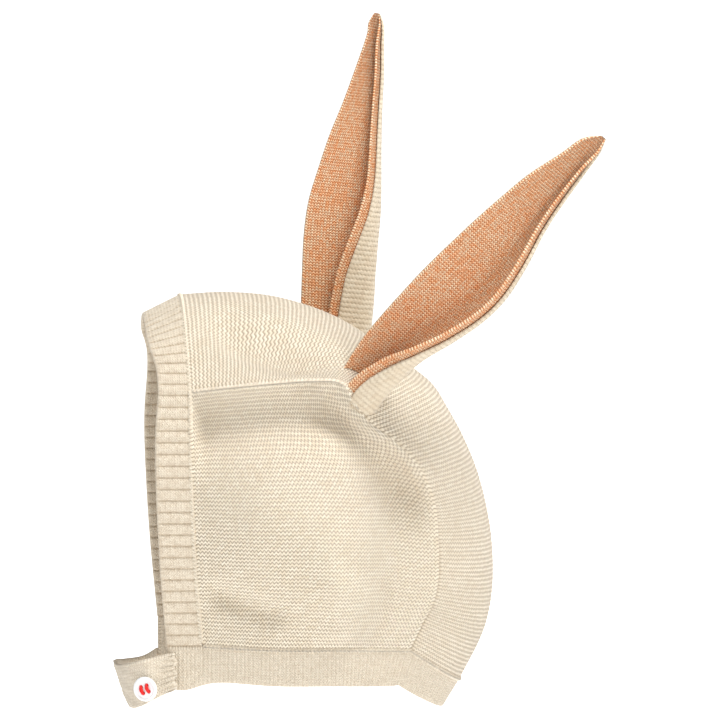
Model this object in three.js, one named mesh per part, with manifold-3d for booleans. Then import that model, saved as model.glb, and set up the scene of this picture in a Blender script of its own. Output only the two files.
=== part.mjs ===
// A knitted baby bonnet with two long rabbit ears, a ribbed face band, a ribbed neck band and a chin
// strap that buttons under the left cheek. Sizes are in millimetres.
// +Z is up, the face opening looks along -Y, and +X is the wearer's left.
// The origin is where the top of the head rests against the inside of the crown.
import * as THREE from 'three';
import { mergeVertices } from 'three/addons/utils/BufferGeometryUtils.js';
import Module from 'manifold-3d';

const wasm = await Module();
wasm.setup();

// Bonnet
const hatDepth = 162; // brow edge to the back of the head
const hatHeight = 195; // nape edge to the top of the crown
const hatWidth = 112; // between the two crown seams where they are furthest apart
const crownArc = 58; // half of the arc that the crown strip bends through from side to side, in degrees
const knitThickness = 2.2;
const sideBulge = 7; // how far a side panel swells out between its seams
const deepestDent = 6;
const seatBack = 75; // brow edge to the place where the head touches
const seamGap = 0.3; // between any two pieces that are sewn together

// Bands
const faceBandWidth = 16;
const browWidth = 20; // the face band at the top of the forehead
const templeTuck = 2; // how much narrower the band looks where it turns at the temples
const browLean = 26; // how far the band tips down over the forehead, in degrees
const bandPullIn = 7; // how far the bands draw in towards the head, in degrees
const neckBandWidth = 17.5;
const neckBandFront = 15.5; // its width at its two front ends
const neckBandNape = 15.5; // and at the middle of the nape
const napeLean = 35; // how far the neck band tucks in under the back of the head, in degrees
const bandThickness = 2.6;
const ribPitch = 5.3;
const ribDepth = 1.0;

// Chin strap and button
const strapWidth = 21;
const strapThickness = 2.4;
const strapReach = 18.5; // how far the strap stands out in front of the band ends
const strapDrop = 16; // how far the strap hangs down at the middle of the chin
const strapTilt = 18; // how far its lower edge draws in there, in degrees
const strapLap = 4; // how far its end laps over the left end of the neck band
const tabReach = 15; // the tab under it, which carries the button
const tabWidth = 14;
const tabThickness = 2;
const buttonDiameter = 11.4;
const buttonThickness = 2;
const buttonRim = 0.6; // height of the rim over the middle of the button
const rimWidth = 1.5;
const holeSpacing = 2.9;
const holeDiameter = 1.9;
const buttonFromEnd = 13; // strap end to the middle of the button
const buttonDrop = 3; // how far the button sits below the middle of the strap
const threadDiameter = 1.2;
const buttonBevel = 0.4; // on the edges of its rim
const buttonRoll = 32; // how far its stitches lean forward from upright, in degrees

// Ears
const earLength = 160;
const earWidth = 54; // laid flat
const earShellThickness = 1.6;
const earLiningThickness = 1.3;
const earThinning = 0.3; // both thin out where the ear is narrower than this share of its width
const liningInset = 0.6; // the edge of the shell that shows round the lining
const leftEarLean = 40.7; // degrees back from upright
const rightEarLean = 6.2;
const leftEarSplay = 10; // degrees outward
const rightEarSplay = 3;
const leftEarSet = 7.5; // how far an ear's axis starts behind the seam
const rightEarSet = 4.8;
const rightEarRise = 10.5; // how far above the seam the right ear's axis starts

// How finely the surfaces are divided
const rowSteps = 2; // steps between two rows of the crown table
const crownSteps = 12; // steps across the crown strip
const bandSteps = 2; // steps across a band
const earSteps = 18;
const earColumns = 12;

const radians = THREE.MathUtils.degToRad;
const clamp = THREE.MathUtils.clamp;
const mix = THREE.MathUtils.lerp;
const vec = (x, y, z) => new THREE.Vector3(x, y, z);

// Sections of the crown strip from the brow over the head to the nape. Each row gives the middle of the
// strip and its left seam. out is a share of half the hat's width, back of its depth, up of its height.
const crownRows = [
  { midBack: 0.108, midUp: 0.989, seamOut: 0.893, seamBack: 0.115, seamUp: 0.808 },
  { midBack: 0.243, midUp: 0.993, seamOut: 0.946, seamBack: 0.223, seamUp: 0.813 },
  { midBack: 0.390, midUp: 0.979, seamOut: 0.982, seamBack: 0.333, seamUp: 0.816 },
  { midBack: 0.546, midUp: 0.934, seamOut: 1.000, seamBack: 0.442, seamUp: 0.818 },
  { midBack: 0.679, midUp: 0.865, seamOut: 1.000, seamBack: 0.528, seamUp: 0.812 },
  { midBack: 0.765, midUp: 0.811, seamOut: 1.000, seamBack: 0.568, seamUp: 0.767 },
  { midBack: 0.823, midUp: 0.761, seamOut: 1.000, seamBack: 0.613, seamUp: 0.716 },
  { midBack: 0.876, midUp: 0.701, seamOut: 0.982, seamBack: 0.687, seamUp: 0.673 },
  { midBack: 0.919, midUp: 0.633, seamOut: 0.955, seamBack: 0.746, seamUp: 0.618 },
  { midBack: 0.958, midUp: 0.548, seamOut: 0.920, seamBack: 0.791, seamUp: 0.538 },
  { midBack: 0.989, midUp: 0.432, seamOut: 0.893, seamBack: 0.806, seamUp: 0.450 },
  { midBack: 0.998, midUp: 0.321, seamOut: 0.839, seamBack: 0.811, seamUp: 0.353 },
  { midBack: 0.988, midUp: 0.232, seamOut: 0.786, seamBack: 0.798, seamUp: 0.283 },
  { midBack: 0.961, midUp: 0.159, seamOut: 0.741, seamBack: 0.773, seamUp: 0.239 },
  { midBack: 0.904, midUp: 0.066, seamOut: 0.679, seamBack: 0.736, seamUp: 0.168 },
];
const lastRow = crownRows.length - 1;
const earRow = 4; // the row whose seam is at the front of the ear, where a side panel has its corner

// A side panel's front edge from the crown seam down to the neck band, and its bottom edge from front to
// back. Their ends are the crown seam's ends and the corner they share.
const frontEdgeRows = [
  { out: 0.893, back: 0.115, up: 0.808 },
  { out: 0.930, back: 0.117, up: 0.599 },
  { out: 0.850, back: 0.128, up: 0.394 },
  { out: 0.732, back: 0.148, up: 0.191 },
];
const bottomEdgeRows = [
  { out: 0.732, back: 0.148, up: 0.191 },
  { out: 0.830, back: 0.347, up: 0.184 },
  { out: 0.800, back: 0.545, up: 0.179 },
  { out: 0.679, back: 0.736, up: 0.168 },
];

// Soft dents and swells in a side panel, each along a line between two places. u runs from front to back
// and v from top to bottom, and reach is a share of the panel too. depth is a share of the deepest dent.
const sideDents = [
  { fromU: 0.12, fromV: 0.15, toU: 0.62, toV: 0.17, reach: 0.11, depth: 0.95 },
  { fromU: 0.70, fromV: 0.25, toU: 0.80, toV: 0.48, reach: 0.11, depth: 0.80 },
  { fromU: 0.80, fromV: 0.48, toU: 0.78, toV: 0.82, reach: 0.10, depth: 0.55 },
  { fromU: 0.16, fromV: 0.72, toU: 0.36, toV: 0.76, reach: 0.07, depth: 0.40 },
  { fromU: 0.30, fromV: 0.50, toU: 0.52, toV: 0.60, reach: 0.22, depth: -0.50 },
  { fromU: 0.56, fromV: 0.72, toU: 0.60, toV: 0.92, reach: 0.10, depth: -0.45 },
];
// The same for the crown strip: u runs from brow to nape and v from the right seam to the left one.
const crownDents = [
  { fromU: 0.05, fromV: 0.79, toU: 0.15, toV: 0.88, reach: 0.045, depth: 0.55 },
  { fromU: 0.12, fromV: 0.74, toU: 0.26, toV: 0.86, reach: 0.05, depth: -0.30 },
  { fromU: 0.06, fromV: 0.18, toU: 0.14, toV: 0.12, reach: 0.05, depth: 0.40 },
  { fromU: 0.42, fromV: 0.30, toU: 0.42, toV: 0.70, reach: 0.05, depth: -0.20 },
];

// Reads one column of a table as a smooth curve through its rows, at a place counted in rows.
function column(rows, name, at) {
  const last = rows.length - 1;
  const first = clamp(Math.floor(at), 0, last - 1);
  const value = (k) => {
    if (k < 0) return 2 * rows[0][name] - rows[1][name];
    if (k > last) return 2 * rows[last][name] - rows[last - 1][name];
    return rows[k][name];
  };
  const [a, b, c, d] = [value(first - 1), value(first), value(first + 1), value(first + 2)];
  const f = at - first;
  return b + 0.5 * f * (c - a + f * (2 * a - 5 * b + 4 * c - d + f * (3 * (b - c) + d - a)));
}

// A place on the bonnet from its three shares.
function place(out, back, up) {
  return vec((out * hatWidth) / 2, back * hatDepth, up * hatHeight);
}

// How deep the dents press in at one place. It fades out at the edges of the panel.
function dentDepth(dents, u, v) {
  const fade = (x) => THREE.MathUtils.smoothstep(Math.min(x, 1 - x), 0, 0.12);
  const depth = dents.reduce((sum, dent) => {
    const du = dent.toU - dent.fromU;
    const dv = dent.toV - dent.fromV;
    const along = clamp(((u - dent.fromU) * du + (v - dent.fromV) * dv) / (du * du + dv * dv), 0, 1);
    const off = Math.hypot(u - dent.fromU - along * du, v - dent.fromV - along * dv) / dent.reach;
    return sum + dent.depth * Math.exp(-off * off);
  }, 0);
  return depth * deepestDent * fade(u) * fade(v);
}

// The left crown seam at a place counted in rows of the crown table.
function seamPoint(row) {
  return place(
    column(crownRows, 'seamOut', row),
    column(crownRows, 'seamBack', row),
    column(crownRows, 'seamUp', row),
  );
}

// The outside of the crown strip: row runs from brow to nape, and across from -1 to 1 at the left seam.
function crownPoint(row, across) {
  const arc = radians(crownArc);
  const seam = seamPoint(row);
  const middle = place(0, column(crownRows, 'midBack', row), column(crownRows, 'midUp', row));
  const rise = (Math.cos(across * arc) - Math.cos(arc)) / (1 - Math.cos(arc));
  const point = seam.clone().lerp(middle, rise);
  point.x = (seam.x * Math.sin(across * arc)) / Math.sin(arc);
  const inward = middle.clone().sub(seam).setX(0).normalize();
  return point.addScaledVector(inward, -dentDepth(crownDents, row / lastRow, (across + 1) / 2));
}

function edgePoint(rows, share) {
  const at = share * (rows.length - 1);
  return place(column(rows, 'out', at), column(rows, 'back', at), column(rows, 'up', at));
}

// The outside of the left side panel, blended between its four edges and swollen between them.
function sidePoint(u, v) {
  const top = (x) => seamPoint(x * earRow);
  const back = (x) => seamPoint(mix(earRow, lastRow, x));
  const front = (x) => edgePoint(frontEdgeRows, x);
  const bottom = (x) => edgePoint(bottomEdgeRows, x);
  const point = top(u).multiplyScalar(1 - v).addScaledVector(bottom(u), v);
  point.addScaledVector(front(v), 1 - u).addScaledVector(back(v), u);
  point.addScaledVector(front(0), -(1 - u) * (1 - v)).addScaledVector(front(1), -(1 - u) * v);
  point.addScaledVector(back(0), -u * (1 - v)).addScaledVector(back(1), -u * v);
  point.x += sideBulge * Math.sin(Math.PI * u) * Math.sin(Math.PI * v) - dentDepth(sideDents, u, v);
  return point;
}

// A patch is a grid of points. Its outer side faces along the product of its row and column directions.
function patch(rowCount, columnCount, pointAt) {
  return Array.from({ length: rowCount + 1 }, (_, i) =>
    Array.from({ length: columnCount + 1 }, (_, j) => pointAt(i / rowCount, j / columnCount)));
}

function mirrored(grid) {
  return grid.map((row) => row.map((point) => vec(-point.x, point.y, point.z)).reverse());
}

// Normals at every point of some patches. Points that patches share get one normal between them.
function sharedNormals(patches) {
  const sums = new Map();
  // Rounded down from an odd offset, because the tables' own numbers often end in a half.
  const key = (point) => point.toArray().map((value) => Math.floor(value * 1000 + 0.37)).join();
  const add = (corners) => {
    const [a, b, c] = corners;
    const normal = b.clone().sub(a).cross(c.clone().sub(a));
    for (const corner of corners) {
      const name = key(corner);
      sums.set(name, (sums.get(name) ?? vec(0, 0, 0)).add(normal));
    }
  };
  for (const grid of patches) {
    for (let i = 0; i < grid.length - 1; i += 1) {
      for (let j = 0; j < grid[0].length - 1; j += 1) {
        add([grid[i][j], grid[i + 1][j], grid[i + 1][j + 1]]);
        add([grid[i][j], grid[i + 1][j + 1], grid[i][j + 1]]);
      }
    }
  }
  const normalAt = (point) => sums.get(key(point)).clone().normalize();
  return patches.map((grid) => grid.map((row) => row.map(normalAt)));
}

// Draws the border of a grid in by half a seam gap, so that neighbours don't touch.
function drawnIn(grid, distance) {
  const rowEnd = grid.length - 1;
  const columnEnd = grid[0].length - 1;
  const step = (from, to) => to.clone().sub(from).setLength(distance);
  return grid.map((row, i) => row.map((point, j) => {
    const moved = point.clone();
    if (i === 0) moved.add(step(point, grid[1][j]));
    if (i === rowEnd) moved.add(step(point, grid[rowEnd - 1][j]));
    if (j === 0) moved.add(step(point, row[1]));
    if (j === columnEnd) moved.add(step(point, row[columnEnd - 1]));
    return moved;
  }));
}

// A closed wall between two depths under a patch. A depth is a number, or a function of the row.
function wall(grid, normals, topDepth, bottomDepth, draw = seamGap / 2) {
  const base = draw ? drawnIn(grid, draw) : grid;
  const rows = grid.length;
  const columns = grid[0].length;
  const positions = [];
  for (const outer of [true, false]) {
    const depth = outer ? topDepth : bottomDepth;
    const depthAt = typeof depth === 'function' ? depth : () => depth;
    base.forEach((row, i) => row.forEach((point, j) => {
      positions.push(...point.clone().addScaledVector(normals[i][j], -depthAt(i)).toArray());
    }));
  }
  const at = (i, j, side) => side * rows * columns + i * columns + j;
  const faces = [];
  const quad = (a, b, c, d) => faces.push(a, b, c, a, c, d);
  for (let i = 0; i < rows - 1; i += 1) {
    for (let j = 0; j < columns - 1; j += 1) {
      quad(at(i, j, 0), at(i + 1, j, 0), at(i + 1, j + 1, 0), at(i, j + 1, 0));
      quad(at(i, j, 1), at(i, j + 1, 1), at(i + 1, j + 1, 1), at(i + 1, j, 1));
    }
  }
  for (let i = 0; i < rows - 1; i += 1) {
    quad(at(i, 0, 0), at(i, 0, 1), at(i + 1, 0, 1), at(i + 1, 0, 0));
    quad(at(i, columns - 1, 0), at(i + 1, columns - 1, 0), at(i + 1, columns - 1, 1), at(i, columns - 1, 1));
  }
  for (let j = 0; j < columns - 1; j += 1) {
    quad(at(0, j, 0), at(0, j + 1, 0), at(0, j + 1, 1), at(0, j, 1));
    quad(at(rows - 1, j, 0), at(rows - 1, j, 1), at(rows - 1, j + 1, 1), at(rows - 1, j + 1, 0));
  }
  const geometry = new THREE.BufferGeometry();
  geometry.setAttribute('position', new THREE.Float32BufferAttribute(positions, 3));
  geometry.setIndex(faces);
  return geometry;
}

// Solids for manifold-3d and back.
function toSolid(geometry) {
  const bare = geometry.clone();
  bare.deleteAttribute('normal');
  bare.deleteAttribute('uv');
  const merged = mergeVertices(bare, 1e-4);
  return new wasm.Manifold(new wasm.Mesh({
    numProp: 3,
    vertProperties: new Float32Array(merged.attributes.position.array),
    triVerts: new Uint32Array(merged.index.array),
  }));
}

function fromSolid(solid) {
  const mesh = solid.getMesh();
  const geometry = new THREE.BufferGeometry();
  geometry.setAttribute('position', new THREE.Float32BufferAttribute(mesh.vertProperties, 3));
  geometry.setIndex(new THREE.Uint32BufferAttribute(mesh.triVerts, 1));
  return geometry;
}

// Crown strip and side panels
const crownGrid = patch(lastRow * rowSteps, crownSteps, (i, j) => crownPoint(i * lastRow, 1 - 2 * j));
const topSteps = earRow * rowSteps;
const backSteps = (lastRow - earRow) * rowSteps;
const sideGrid = patch(backSteps, topSteps, (i, j) => sidePoint(j, i));
const rightGrid = mirrored(sideGrid);

// The bands' sewn edges, as grid points of the panels from one end round to the other.
const sideFront = sideGrid.map((row) => row[0]);
const sideBottom = sideGrid[backSteps];
const mirrorPoint = (point) => vec(-point.x, point.y, point.z);
function roundBoth(leftEdge, middleEdge) {
  const right = leftEdge.map(mirrorPoint).reverse();
  return [...leftEdge, ...middleEdge.slice(1, -1), ...right];
}
const faceSeam = roundBoth([...sideFront].reverse(), crownGrid[0]);

// The face band leans down at the brow and draws in a little at the cheeks.
function faceBandPoint(seam, across) {
  const up = seam.z / hatHeight;
  const brow = THREE.MathUtils.smoothstep(up, 0.83, 0.99);
  const temple = Math.exp(-(((up - 0.81) / 0.09) ** 2));
  const lean = radians(browLean * brow);
  const pull = radians(bandPullIn) * (seam.x / (hatWidth / 2));
  const width = mix(faceBandWidth, browWidth, brow) - templeTuck * temple;
  const direction = vec(-Math.sin(pull), -Math.cos(pull) * Math.cos(lean), -Math.sin(lean));
  return seam.clone().addScaledVector(direction.normalize(), across * width);
}
const faceGrid = faceSeam.map((seam) =>
  Array.from({ length: bandSteps + 1 }, (_, j) => faceBandPoint(seam, j / bandSteps)));

// The neck band starts under the end of the face band, and tucks in under the back of the head.
const faceEnd = [...faceGrid[0]].reverse();
const neckSeam = roundBoth([...faceEnd, ...sideBottom.slice(1)], crownGrid[lastRow * rowSteps]);
function neckBandPoint(seam, across) {
  const nape = THREE.MathUtils.smoothstep(seam.y, 0.5 * hatDepth, hatDepth);
  const side = mix(neckBandFront, neckBandWidth, THREE.MathUtils.smoothstep(seam.y, 0, 0.4 * hatDepth));
  const width = mix(side, neckBandNape, THREE.MathUtils.smoothstep(seam.y, 0.7 * hatDepth, 0.9 * hatDepth));
  const lean = radians(napeLean * nape);
  const pull = radians(bandPullIn) * (seam.x / (hatWidth / 2));
  const direction = vec(-Math.sin(pull), -Math.sin(lean), -Math.cos(lean) * Math.cos(pull));
  return seam.clone().addScaledVector(direction.normalize(), across * width);
}
const neckGrid = neckSeam.map((seam) =>
  Array.from({ length: bandSteps + 1 }, (_, j) => neckBandPoint(seam, j / bandSteps)).reverse());

const [crownNormals, sideNormals, rightNormals, faceNormals, neckNormals] = sharedNormals([
  crownGrid, sideGrid, rightGrid, faceGrid, neckGrid,
]);

// The face band again with its ribs: three stations a rib, at the groove and at both sides of the ridge.
function ribbed(grid, normals) {
  const edge = grid.map((row) => row[0]);
  const along = [0];
  edge.slice(1).forEach((point, i) => along.push(along[i] + point.distanceTo(edge[i])));
  const total = along[along.length - 1];
  const ribCount = Math.round(total / ribPitch);
  const stations = [];
  for (let rib = 0; rib < ribCount; rib += 1) {
    for (const part of [0, 0.2, 0.8]) stations.push(((rib + part) / ribCount) * total);
  }
  stations.push(total);
  const pick = (source, at) => {
    const next = Math.max(1, along.findIndex((value) => value >= at - 1e-9));
    const f = (at - along[next - 1]) / (along[next] - along[next - 1]);
    return source[next].map((value, j) => source[next - 1][j].clone().lerp(value, f));
  };
  return {
    grid: stations.map((at) => pick(grid, at)),
    normals: stations.map((at) => pick(normals, at).map((normal) => normal.normalize())),
    groove: (i) => (i % 3 === 0 ? ribDepth : 0),
  };
}
const faceRibs = ribbed(faceGrid, faceNormals);
const faceBand = wall(faceRibs.grid, faceRibs.normals, faceRibs.groove, bandThickness);

// Chin strap: a ribbon round the chin, from the outside of the left end of the neck band to its right end.
const strapClear = seamGap + strapThickness / 2;
const bandFront = neckGrid[0][bandSteps];
const strapStart = bandFront.clone().lerp(neckGrid[bandSteps][bandSteps], strapLap / faceBandWidth);
const strapLevel = (neckGrid[0][0].z + bandFront.z) / 2;
const strapRoute = new THREE.CatmullRomCurve3([
  { x: strapStart.x + strapClear, reach: (bandFront.y - strapStart.y) / strapReach, fall: 0.33 },
  { x: bandFront.x + strapClear, reach: 0, fall: 0.37 },
  { x: bandFront.x + 0.7 * strapClear, reach: 0.48, fall: 0.50 },
  { x: bandFront.x * 0.84, reach: 0.82, fall: 0.70 },
  { x: bandFront.x * 0.45, reach: 0.96, fall: 0.90 },
  { x: 0, reach: 1, fall: 1 },
  { x: -bandFront.x * 0.45, reach: 0.94, fall: 1.05 },
  { x: -bandFront.x * 0.82, reach: 0.74, fall: 1.06 },
  { x: -bandFront.x * 0.97, reach: 0.36, fall: 0.98 },
  { x: bandThickness / 2 - bandFront.x, reach: seamGap / strapReach, fall: 0.68 },
].map(({ x, reach, fall }) => vec(x, bandFront.y - reach * strapReach, strapLevel - fall * strapDrop)));

// A ribbon runs between two lengths along the strap's route, at a depth under it. Its normal is level and
// square to the route, and its lower edge draws in most at the middle of the chin.
function levelNormal(route, share) {
  const tangent = route.getTangentAt(share);
  return vec(-tangent.y, tangent.x, 0).normalize();
}
function ribbonSolid(route, { from, to, width, depth, thickness, steps }) {
  const shares = Array.from({ length: steps + 1 }, (_, i) => mix(from, to, i / steps) / route.getLength());
  const normals = shares.map((share) => Array.from({ length: 3 }, () => levelNormal(route, share)));
  const grid = shares.map((share) => Array.from({ length: 3 }, (_, j) => {
    const below = width * (j / 2 - 0.5);
    const tilt = radians(strapTilt) * Math.sin(Math.PI * clamp(share, 0, 1));
    const point = route.getPointAt(share).add(vec(0, 0, -below * Math.cos(tilt)));
    return point.addScaledVector(levelNormal(route, share), -below * Math.sin(tilt));
  }));
  return wall(grid, normals, depth - thickness / 2, depth + thickness / 2, 0);
}
const strap = ribbonSolid(strapRoute, {
  from: 0, to: strapRoute.getLength(), width: strapWidth, depth: 0, thickness: strapThickness, steps: 28,
});

// The tab under the strap carries on from the left end of the neck band.
const tab = ribbonSolid(strapRoute, {
  from: strapLap + 2 * seamGap,
  to: strapLap + tabReach,
  width: tabWidth,
  depth: strapThickness / 2 + 2 * seamGap + tabThickness / 2,
  thickness: tabThickness,
  steps: 5,
});

// Button: a turned disc with a raised rim and four holes.
function buttonGeometry() {
  const radius = buttonDiameter / 2;
  const dish = radius - rimWidth;
  const profile = [
    [0, 0], [radius - buttonBevel, 0], [radius, buttonBevel], [radius, buttonThickness - buttonBevel],
    [radius - buttonBevel, buttonThickness], [dish + buttonBevel, buttonThickness],
    [dish, buttonThickness - buttonRim], [0, buttonThickness - buttonRim],
  ].map(([x, y]) => new THREE.Vector2(x, y));
  const disc = new THREE.LatheGeometry(profile, 24);
  disc.rotateX(Math.PI / 2);
  let solid = toSolid(disc);
  for (const [x, y] of [[-1, -1], [-1, 1], [1, -1], [1, 1]]) {
    const hole = new THREE.CylinderGeometry(holeDiameter / 2, holeDiameter / 2, 4 * buttonThickness, 10);
    hole.rotateX(Math.PI / 2);
    hole.translate((x * holeSpacing) / 2, (y * holeSpacing) / 2, 0);
    solid = solid.subtract(toSolid(hole));
  }
  return fromSolid(solid);
}

// One stitch of thread: down one hole, across the face of the button and down the other.
function stitchGeometry() {
  const top = buttonThickness - buttonRim + threadDiameter / 2 + seamGap / 2;
  const half = holeSpacing / 2;
  const path = new THREE.CatmullRomCurve3([
    vec(0, -half, 0.05 * top), vec(0, -half, 0.6 * top), vec(0, -0.55 * half, top),
    vec(0, 0.55 * half, top), vec(0, half, 0.6 * top), vec(0, half, 0.05 * top),
  ]);
  const section = new THREE.Shape();
  section.absarc(0, 0, threadDiameter / 2, 0, 2 * Math.PI);
  return new THREE.ExtrudeGeometry(section, { steps: 10, extrudePath: path, curveSegments: 6 });
}

// Ears. Each is a leaf rolled along its length, with its opening to the front. Rows run from root to tip,
// at shares of the ear's length. A section starts at the edge on the wearer's right and runs straight back,
// turns towards the wearer's left between two shares of its width, and ends at its other edge facing lip
// degrees away from straight forward. Its width is a share of earWidth, and so are fore and out, which say
// how far its first edge is in front of the ear's axis and to the left of it.
const leftEarRows = [
  { at: -0.10, width: 0.86, bendFrom: 0.36, bendTo: 0.76, lip: 0, fore: 0.26, out: -0.22 },
  { at: 0.00, width: 0.88, bendFrom: 0.32, bendTo: 0.78, lip: 0, fore: 0.32, out: -0.22 },
  { at: 0.10, width: 0.88, bendFrom: 0.32, bendTo: 0.88, lip: 4, fore: 0.37, out: -0.20 },
  { at: 0.19, width: 0.88, bendFrom: 0.28, bendTo: 1.00, lip: 16, fore: 0.39, out: -0.14 },
  { at: 0.29, width: 0.91, bendFrom: 0.37, bendTo: 1.00, lip: 30, fore: 0.40, out: -0.08 },
  { at: 0.39, width: 0.94, bendFrom: 0.43, bendTo: 1.00, lip: 36, fore: 0.40, out: -0.04 },
  { at: 0.48, width: 0.92, bendFrom: 0.43, bendTo: 1.00, lip: 40, fore: 0.385, out: -0.02 },
  { at: 0.58, width: 0.80, bendFrom: 0.45, bendTo: 1.00, lip: 40, fore: 0.363, out: 0.00 },
  { at: 0.68, width: 0.63, bendFrom: 0.48, bendTo: 1.00, lip: 38, fore: 0.328, out: 0.00 },
  { at: 0.77, width: 0.52, bendFrom: 0.46, bendTo: 1.00, lip: 38, fore: 0.287, out: 0.00 },
  { at: 0.87, width: 0.36, bendFrom: 0.41, bendTo: 1.00, lip: 46, fore: 0.202, out: -0.01 },
  { at: 0.93, width: 0.22, bendFrom: 0.34, bendTo: 1.00, lip: 80, fore: 0.145, out: -0.02 },
  { at: 0.97, width: 0.06, bendFrom: 0.34, bendTo: 1.00, lip: 84, fore: 0.060, out: -0.02 },
];
const rightEarRows = [
  { at: -0.12, width: 1.06, bendFrom: 0.47, bendTo: 0.73, lip: 0, fore: 0.34, out: -0.04 },
  { at: 0.00, width: 1.10, bendFrom: 0.46, bendTo: 0.73, lip: 0, fore: 0.36, out: -0.03 },
  { at: 0.14, width: 1.12, bendFrom: 0.46, bendTo: 0.76, lip: 0, fore: 0.385, out: 0.00 },
  { at: 0.23, width: 1.10, bendFrom: 0.46, bendTo: 0.80, lip: 2, fore: 0.405, out: 0.02 },
  { at: 0.33, width: 1.05, bendFrom: 0.47, bendTo: 0.87, lip: 8, fore: 0.422, out: 0.03 },
  { at: 0.43, width: 0.95, bendFrom: 0.50, bendTo: 0.94, lip: 10, fore: 0.412, out: 0.04 },
  { at: 0.53, width: 0.79, bendFrom: 0.50, bendTo: 1.00, lip: 8, fore: 0.355, out: 0.04 },
  { at: 0.63, width: 0.65, bendFrom: 0.49, bendTo: 1.00, lip: 12, fore: 0.287, out: 0.04 },
  { at: 0.73, width: 0.51, bendFrom: 0.44, bendTo: 1.00, lip: 15, fore: 0.196, out: 0.03 },
  { at: 0.83, width: 0.39, bendFrom: 0.34, bendTo: 1.00, lip: 22, fore: 0.116, out: 0.02 },
  { at: 0.93, width: 0.25, bendFrom: 0.15, bendTo: 1.00, lip: 40, fore: 0.040, out: 0.01 },
  { at: 0.97, width: 0.19, bendFrom: 0.12, bendTo: 1.00, lip: 60, fore: 0.035, out: 0.00 },
  { at: 1.00, width: 0.06, bendFrom: 0.12, bendTo: 1.00, lip: 80, fore: 0.000, out: 0.00 },
];

// The grid of an ear's outer side: rows from root to tip, columns from its right edge round to its left one.
function earGrid(rows) {
  const stations = Array.from({ length: earSteps + 1 }, (_, i) => (i / earSteps) * (rows.length - 1));
  return stations.map((row) => {
    const read = (name) => column(rows, name, row);
    const width = read('width') * earWidth;
    const walkSteps = 10 * earColumns;
    const bendFrom = read('bendFrom');
    const bend = read('bendTo') - bendFrom;
    const section = [];
    let forward = read('fore') * earWidth;
    let left = read('out') * earWidth;
    for (let k = 0; k <= walkSteps; k += 1) {
      if (k % 10 === 0) section.push(vec(left, -forward, read('at') * earLength));
      const turned = clamp(((k + 0.5) / walkSteps - bendFrom) / bend, 0, 1);
      const direction = radians(mix(180, read('lip'), turned));
      forward += (Math.cos(direction) * width) / walkSteps;
      left += (Math.sin(direction) * width) / walkSteps;
    }
    return section;
  });
}

// Places an ear's own axes on the bonnet: its root at the crown seam, leaning back and to the left.
function earPlaced(grid, { leanBack, leanLeft, root }) {
  const turn = new THREE.Matrix4().makeRotationX(-radians(leanBack));
  turn.multiply(new THREE.Matrix4().makeRotationY(radians(leanLeft)));
  return grid.map((row) => row.map((point) => point.clone().applyMatrix4(turn).add(root)));
}

// The trimmed ear: its root is cut to the outside of the bonnet, less a seam gap.
const cutterDepth = 16;
const cutterOverlap = 0.1;
const bonnetCutter = [[crownGrid, crownNormals], [sideGrid, sideNormals], [rightGrid, rightNormals]]
  .map(([grid, normals]) => toSolid(wall(grid, normals, -seamGap, cutterDepth, -cutterOverlap)))
  .reduce((sum, solid) => sum.add(solid));

function largestPiece(solid) {
  return solid.decompose().reduce((best, piece) => (piece.volume() > best.volume() ? piece : best));
}

function earPieces(rows, pose) {
  const grid = earPlaced(earGrid(rows), pose);
  const [normals] = sharedNormals([grid]);
  const thin = (i) => clamp(column(rows, 'width', (i / earSteps) * (rows.length - 1)) / earThinning, 0.25, 1);
  const shellDepth = (i) => earShellThickness * thin(i);
  const liningTop = (i) => shellDepth(i) + seamGap;
  const liningBottom = (i) => liningTop(i) + earLiningThickness * thin(i);
  const shell = toSolid(wall(grid, normals, 0, shellDepth, 0));
  const lining = toSolid(wall(drawnIn(grid, liningInset), normals, liningTop, liningBottom, 0));
  return [shell, lining].map((solid) => fromSolid(largestPiece(solid.subtract(bonnetCutter))));
}

const earRoot = seamPoint(earRow + 1);
const [leftShell, leftLining] = earPieces(leftEarRows, {
  leanBack: leftEarLean, leanLeft: leftEarSplay, root: earRoot.clone().add(vec(0, leftEarSet, 0)),
});
const [rightShell, rightLining] = earPieces(rightEarRows, {
  leanBack: rightEarLean,
  leanLeft: -rightEarSplay,
  root: mirrorPoint(earRoot).add(vec(0, rightEarSet, rightEarRise)),
});

// Materials
const material = (color, roughness) => new THREE.MeshStandardMaterial({ color, roughness, metalness: 0 });
const creamKnit = material(0xeadcc4, 0.9);
const creamRib = material(0xe6d8c0, 0.9);
const copperKnit = material(0xd09a74, 0.55);
const whitePlastic = material(0xf4f3f2, 0.25);
const redThread = material(0xd9150f, 0.7);

function piece(name, geometry, finish) {
  const mesh = new THREE.Mesh(geometry, finish);
  mesh.name = name;
  return mesh;
}

// Assembly
const bonnet = new THREE.Group();
bonnet.add(
  piece('crown_strip', wall(crownGrid, crownNormals, 0, knitThickness), creamKnit),
  piece('side_panel_left', wall(sideGrid, sideNormals, 0, knitThickness), creamKnit),
  piece('side_panel_right', wall(rightGrid, rightNormals, 0, knitThickness), creamKnit),
  piece('face_band', faceBand, creamRib),
  piece('neck_band', wall(neckGrid, neckNormals, 0, bandThickness), creamRib),
  piece('chin_strap', strap, creamRib),
  piece('button_tab', tab, creamRib),
  piece('ear_shell_left', leftShell, creamKnit),
  piece('ear_lining_left', leftLining, copperKnit),
  piece('ear_shell_right', rightShell, creamKnit),
  piece('ear_lining_right', rightLining, copperKnit),
);

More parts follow.
